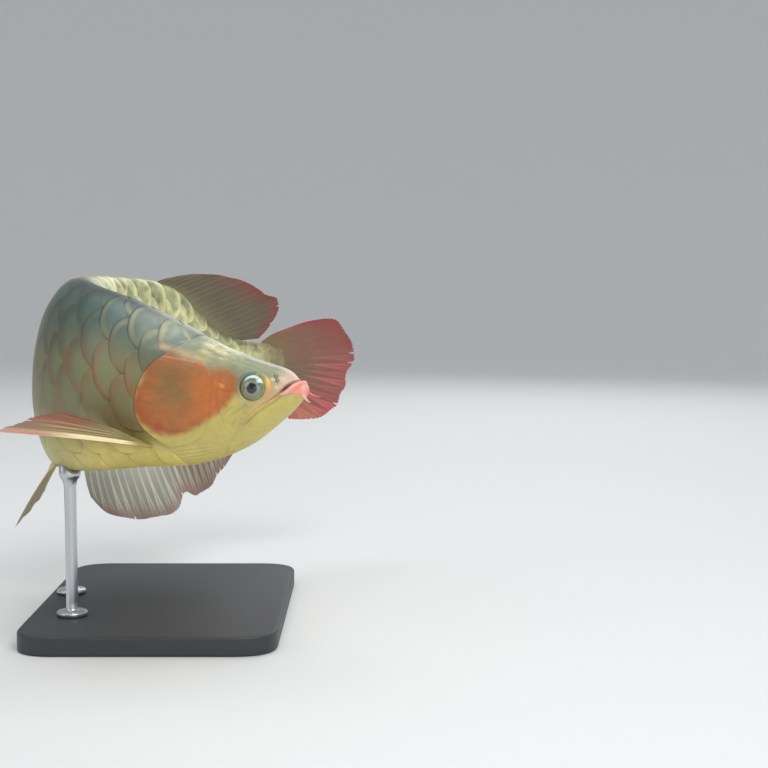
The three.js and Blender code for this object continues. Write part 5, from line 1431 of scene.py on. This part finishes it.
def spanned(tree, value, middle, spread):
    """A socket's 0 to 1 as a range round a middle."""
    ends = {"To Min": middle - spread, "To Max": middle + spread}
    return node(tree, "MapRange", {"Value": value, **ends})["Result"]


def relief(tree, height, strength, distance, under=None):
    """Normals of a fine relief, on top of another one if given."""
    inputs = {"Height": height, "Strength": strength, "Distance": distance}
    if under is not None:
        inputs["Normal"] = under
    return node(tree, "Bump", inputs)["Normal"]


def tinted(name, roughness, spread, grain, depth, coat=0.0, metallic=0.0, mottle=0.12, pores=None,
           coat_roughness=0.1, ripple=None):
    """Painted colour with fine mottling, uneven gloss and a fine relief; sizes in metres.

    ripple is a map's name with the rate, strength and depth of its waves: growth rings on a
    scale, joints along the rays on a fin."""
    material, tree, shader = new_material(name)
    tint = node(tree, "VertexColor", {}, layer_name="Tint")["Color"]
    place = node(tree, "TexCoord", {})["Object"]
    fine, wide = (
        node(tree, "TexNoise", {"Vector": place, "Scale": 1 / size, "Detail": detail, "Roughness": r})["Fac"]
        for size, detail, r in ((grain, 5.0, 0.6), (grain * 9, 3.0, 0.5))
    )
    shade = node(tree, "VectorMath", {0: tint, "Scale": spanned(tree, fine, 1, mottle)}, operation="SCALE")
    normal = relief(tree, fine, 0.6, depth)
    if pores:
        cells = node(tree, "TexVoronoi", {"Vector": place, "Scale": 1 / pores})["Distance"]
        normal = relief(tree, cells, 0.35, depth, normal)
    if ripple:
        map_name, rate, strength, distance = ripple
        uv = node(tree, "UVMap", {}, uv_map=map_name)["UV"]
        if map_name == "ScaleUV":
            way = node(tree, "VectorMath", {0: uv, 1: (0.5, 0.3, 0.0)}, operation="SUBTRACT")["Vector"]
            along = node(tree, "VectorMath", {0: way}, operation="LENGTH")["Value"]
        else:
            along = node(tree, "SeparateXYZ", {"Vector": uv})["Y"]
        turns = node(tree, "Math", {0: along, 1: rate}, operation="MULTIPLY")["Value"]
        wave = node(tree, "Math", {0: turns}, operation="SINE")["Value"]
        normal = relief(tree, wave, strength, distance, normal)
    feed(tree, shader, {
        "Base Color": shade["Vector"], "Roughness": spanned(tree, wide, roughness, spread),
        "Normal": normal, "Coat Weight": coat, "Coat Roughness": coat_roughness, "Metallic": metallic,
    })
    return material


def plain_material(name, colour, roughness, metallic=0.0, grain=0.0006, depth=0.00002, mottle=0.04,
                   stretch=(1.0, 1.0, 1.0)):
    """One colour with a faint grain in colour, gloss and relief."""
    material, tree, shader = new_material(name)
    place = node(tree, "TexCoord", {})["Object"]
    place = node(tree, "Mapping", {"Vector": place, "Scale": stretch})["Vector"]
    fine = node(tree, "TexNoise", {"Vector": place, "Scale": 1 / grain, "Detail": 4.0})["Fac"]
    darker, lighter = (tuple(np.clip(linear(*colour) * k, 0, 1)) + (1,) for k in (1 - mottle, 1 + mottle))
    blend = node(tree, "Mix", {"Factor": fine, "A": darker, "B": lighter}, data_type="RGBA")
    feed(tree, shader, {
        "Base Color": blend["Result"], "Roughness": spanned(tree, fine, roughness, 0.05),
        "Normal": relief(tree, fine, 0.5, depth), "Metallic": metallic,
    })
    return material


def dress(piece, material, slot, *replaced):
    """Material, the root body and the nodes of the solids that a piece stands in for; slot is not used."""
    piece.data.materials.append(material)
    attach(piece, "root")
    if replaced:
        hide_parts(*replaced)


skin_material = tinted("skin", 0.44, 0.08, 0.0011, 0.00014, coat=0.22, mottle=0.10, pores=0.0024,
                       coat_roughness=0.2)
scale_material = tinted("scale", 0.44, 0.08, 0.0012, 0.00012, coat=0.20, metallic=0.12, mottle=0.14,
                        pores=0.0016, coat_roughness=0.25, ripple=("ScaleUV", 190.0, 0.16, 0.00006))
eye_material = tinted("eye", 0.20, 0.04, 0.0008, 0.00002, coat=1.0, mottle=0.06, coat_roughness=0.02)
barbel_material = tinted("barbel", 0.42, 0.06, 0.0010, 0.00008, coat=0.3, mottle=0.08)
paint = plain_material("stand_paint", (52, 54, 58), 0.5, grain=0.0008, depth=0.00003)
steel = plain_material("stand_steel", (196, 200, 204), 0.28, metallic=1.0, grain=0.0004,
                       stretch=(1.0, 1.0, 12.0))

dress(build_skin(), skin_material, "trunk",
      "head", "lower_jaw", "gill_cover_right", "gill_cover_left",
      "trunk_front", "trunk_middle", "trunk_rear", "tail_stalk")
for label, side in SIDES:
    dress(build_scales(f"scales_{label}_front", side, 0.0, SCALES_PARTED), scale_material, "trunk")
    dress(build_scales(f"scales_{label}_rear", side, SCALES_PARTED, SCALES_END), scale_material, "trunk")
for node_name, piece in {**build_middle_fins(), **build_paired_fins()}.items():
    fin_material = tinted(piece.name + "_skin", 0.42, 0.08, 0.0016, 0.0001, coat=0.2,
                          ripple=("FinUV", 210.0, 0.3, 0.00012))
    dress(piece, fin_material, node_name.split("_")[0], node_name)
for label, side in SIDES:
    dress(build_eye(side, label), eye_material, "eye", f"eye_{label}")
    dress(build_barbel(side, label), barbel_material, "barbel", f"barbel_{label}")
dress(build_nostrils(), barbel_material, "head")
dress(build_base(), paint, "base", "stand_base")
dress(build_rod(ROD_FRONT_AT, "rod_front"), steel, "rod", "stand_rod_front")
dress(build_rod(ROD_REAR_AT, "rod_rear"), steel, "rod", "stand_rod_rear")

# Stage, light and camera


def build_stage():
    """Pale round floor that curves up into a wall far outside the lights; sizes in metres."""
    flat, bend, tall, under, sides = 3.0, 2.6, 5.5, 0.0002, 120
    profile = [(r, -under) for r in np.linspace(0.001, flat, 12)]
    for t in np.linspace(0, math.pi / 2, 24)[1:]:
        profile.append((flat + bend * math.sin(t), bend * (1 - math.cos(t)) - under))
    profile.append((flat + bend, tall - under))
    return make_mesh("floor", np.vstack(turned(profile, sides)), grid_quads(len(profile), sides, wrap=True))


floor = build_stage()
floor.data.materials.append(plain_material("floor", (226, 227, 226), 0.7, grain=0.02, mottle=0.01))

LIGHTS_AIM = (0, 0, 0.2)
# Name, place, size and power of each area light
for name, at, size, power in (
    ("key", (0.9, -1.5, 1.9), (1.3, 1.0), 30),
    ("top", (-0.1, 0.3, 2.2), (1.8, 1.4), 13),
    ("left", (-1.8, -0.9, 1.0), (1.2, 1.4), 5),
    ("low", (0.5, -1.9, 0.35), (1.4, 0.5), 2.5),
    ("rear", (0.6, 2.0, 1.2), (1.4, 1.2), 9),
):
    light = bpy.data.lights.new(name, "AREA")
    light.shape = "RECTANGLE"
    light.size, light.size_y = size
    light.energy = power
    lamp = bpy.data.objects.new(name, light)
    lamp.location = at
    lamp.rotation_euler = Vector(np.subtract(LIGHTS_AIM, at)).to_track_quat("-Z", "Y").to_euler()
    bpy.context.scene.collection.objects.link(lamp)

sky = bpy.data.worlds.new("studio")
sky.use_nodes = True
sky_inputs = sky.node_tree.nodes["Background"].inputs
sky_inputs["Color"].default_value = (0.92, 0.95, 1.0, 1)
sky_inputs["Strength"].default_value = 0.58
bpy.context.scene.world = sky

# The photo's camera: focal length and width in pixels, place in metres, degrees it looks down
FOCAL_LENGTH, PHOTO_WIDE, SENSOR_WIDE = 1598.014, 768, 36
CAMERA_AT, CAMERA_DOWN = (0.193997, -1.408691, 0.331921), 5.071
camera_data = bpy.data.cameras.new("camera")
camera_data.lens = SENSOR_WIDE * FOCAL_LENGTH / PHOTO_WIDE
camera_data.sensor_width = SENSOR_WIDE
camera_data.clip_start = 0.05
camera_data.clip_end = 30
camera = bpy.data.objects.new("camera", camera_data)
camera.location = CAMERA_AT
camera.rotation_euler = (math.radians(90 - CAMERA_DOWN), 0, 0)
bpy.context.scene.collection.objects.link(camera)
bpy.context.scene.camera = camera
bpy.context.scene.view_settings.view_transform = "Standard"

bpy.context.view_layer.update()
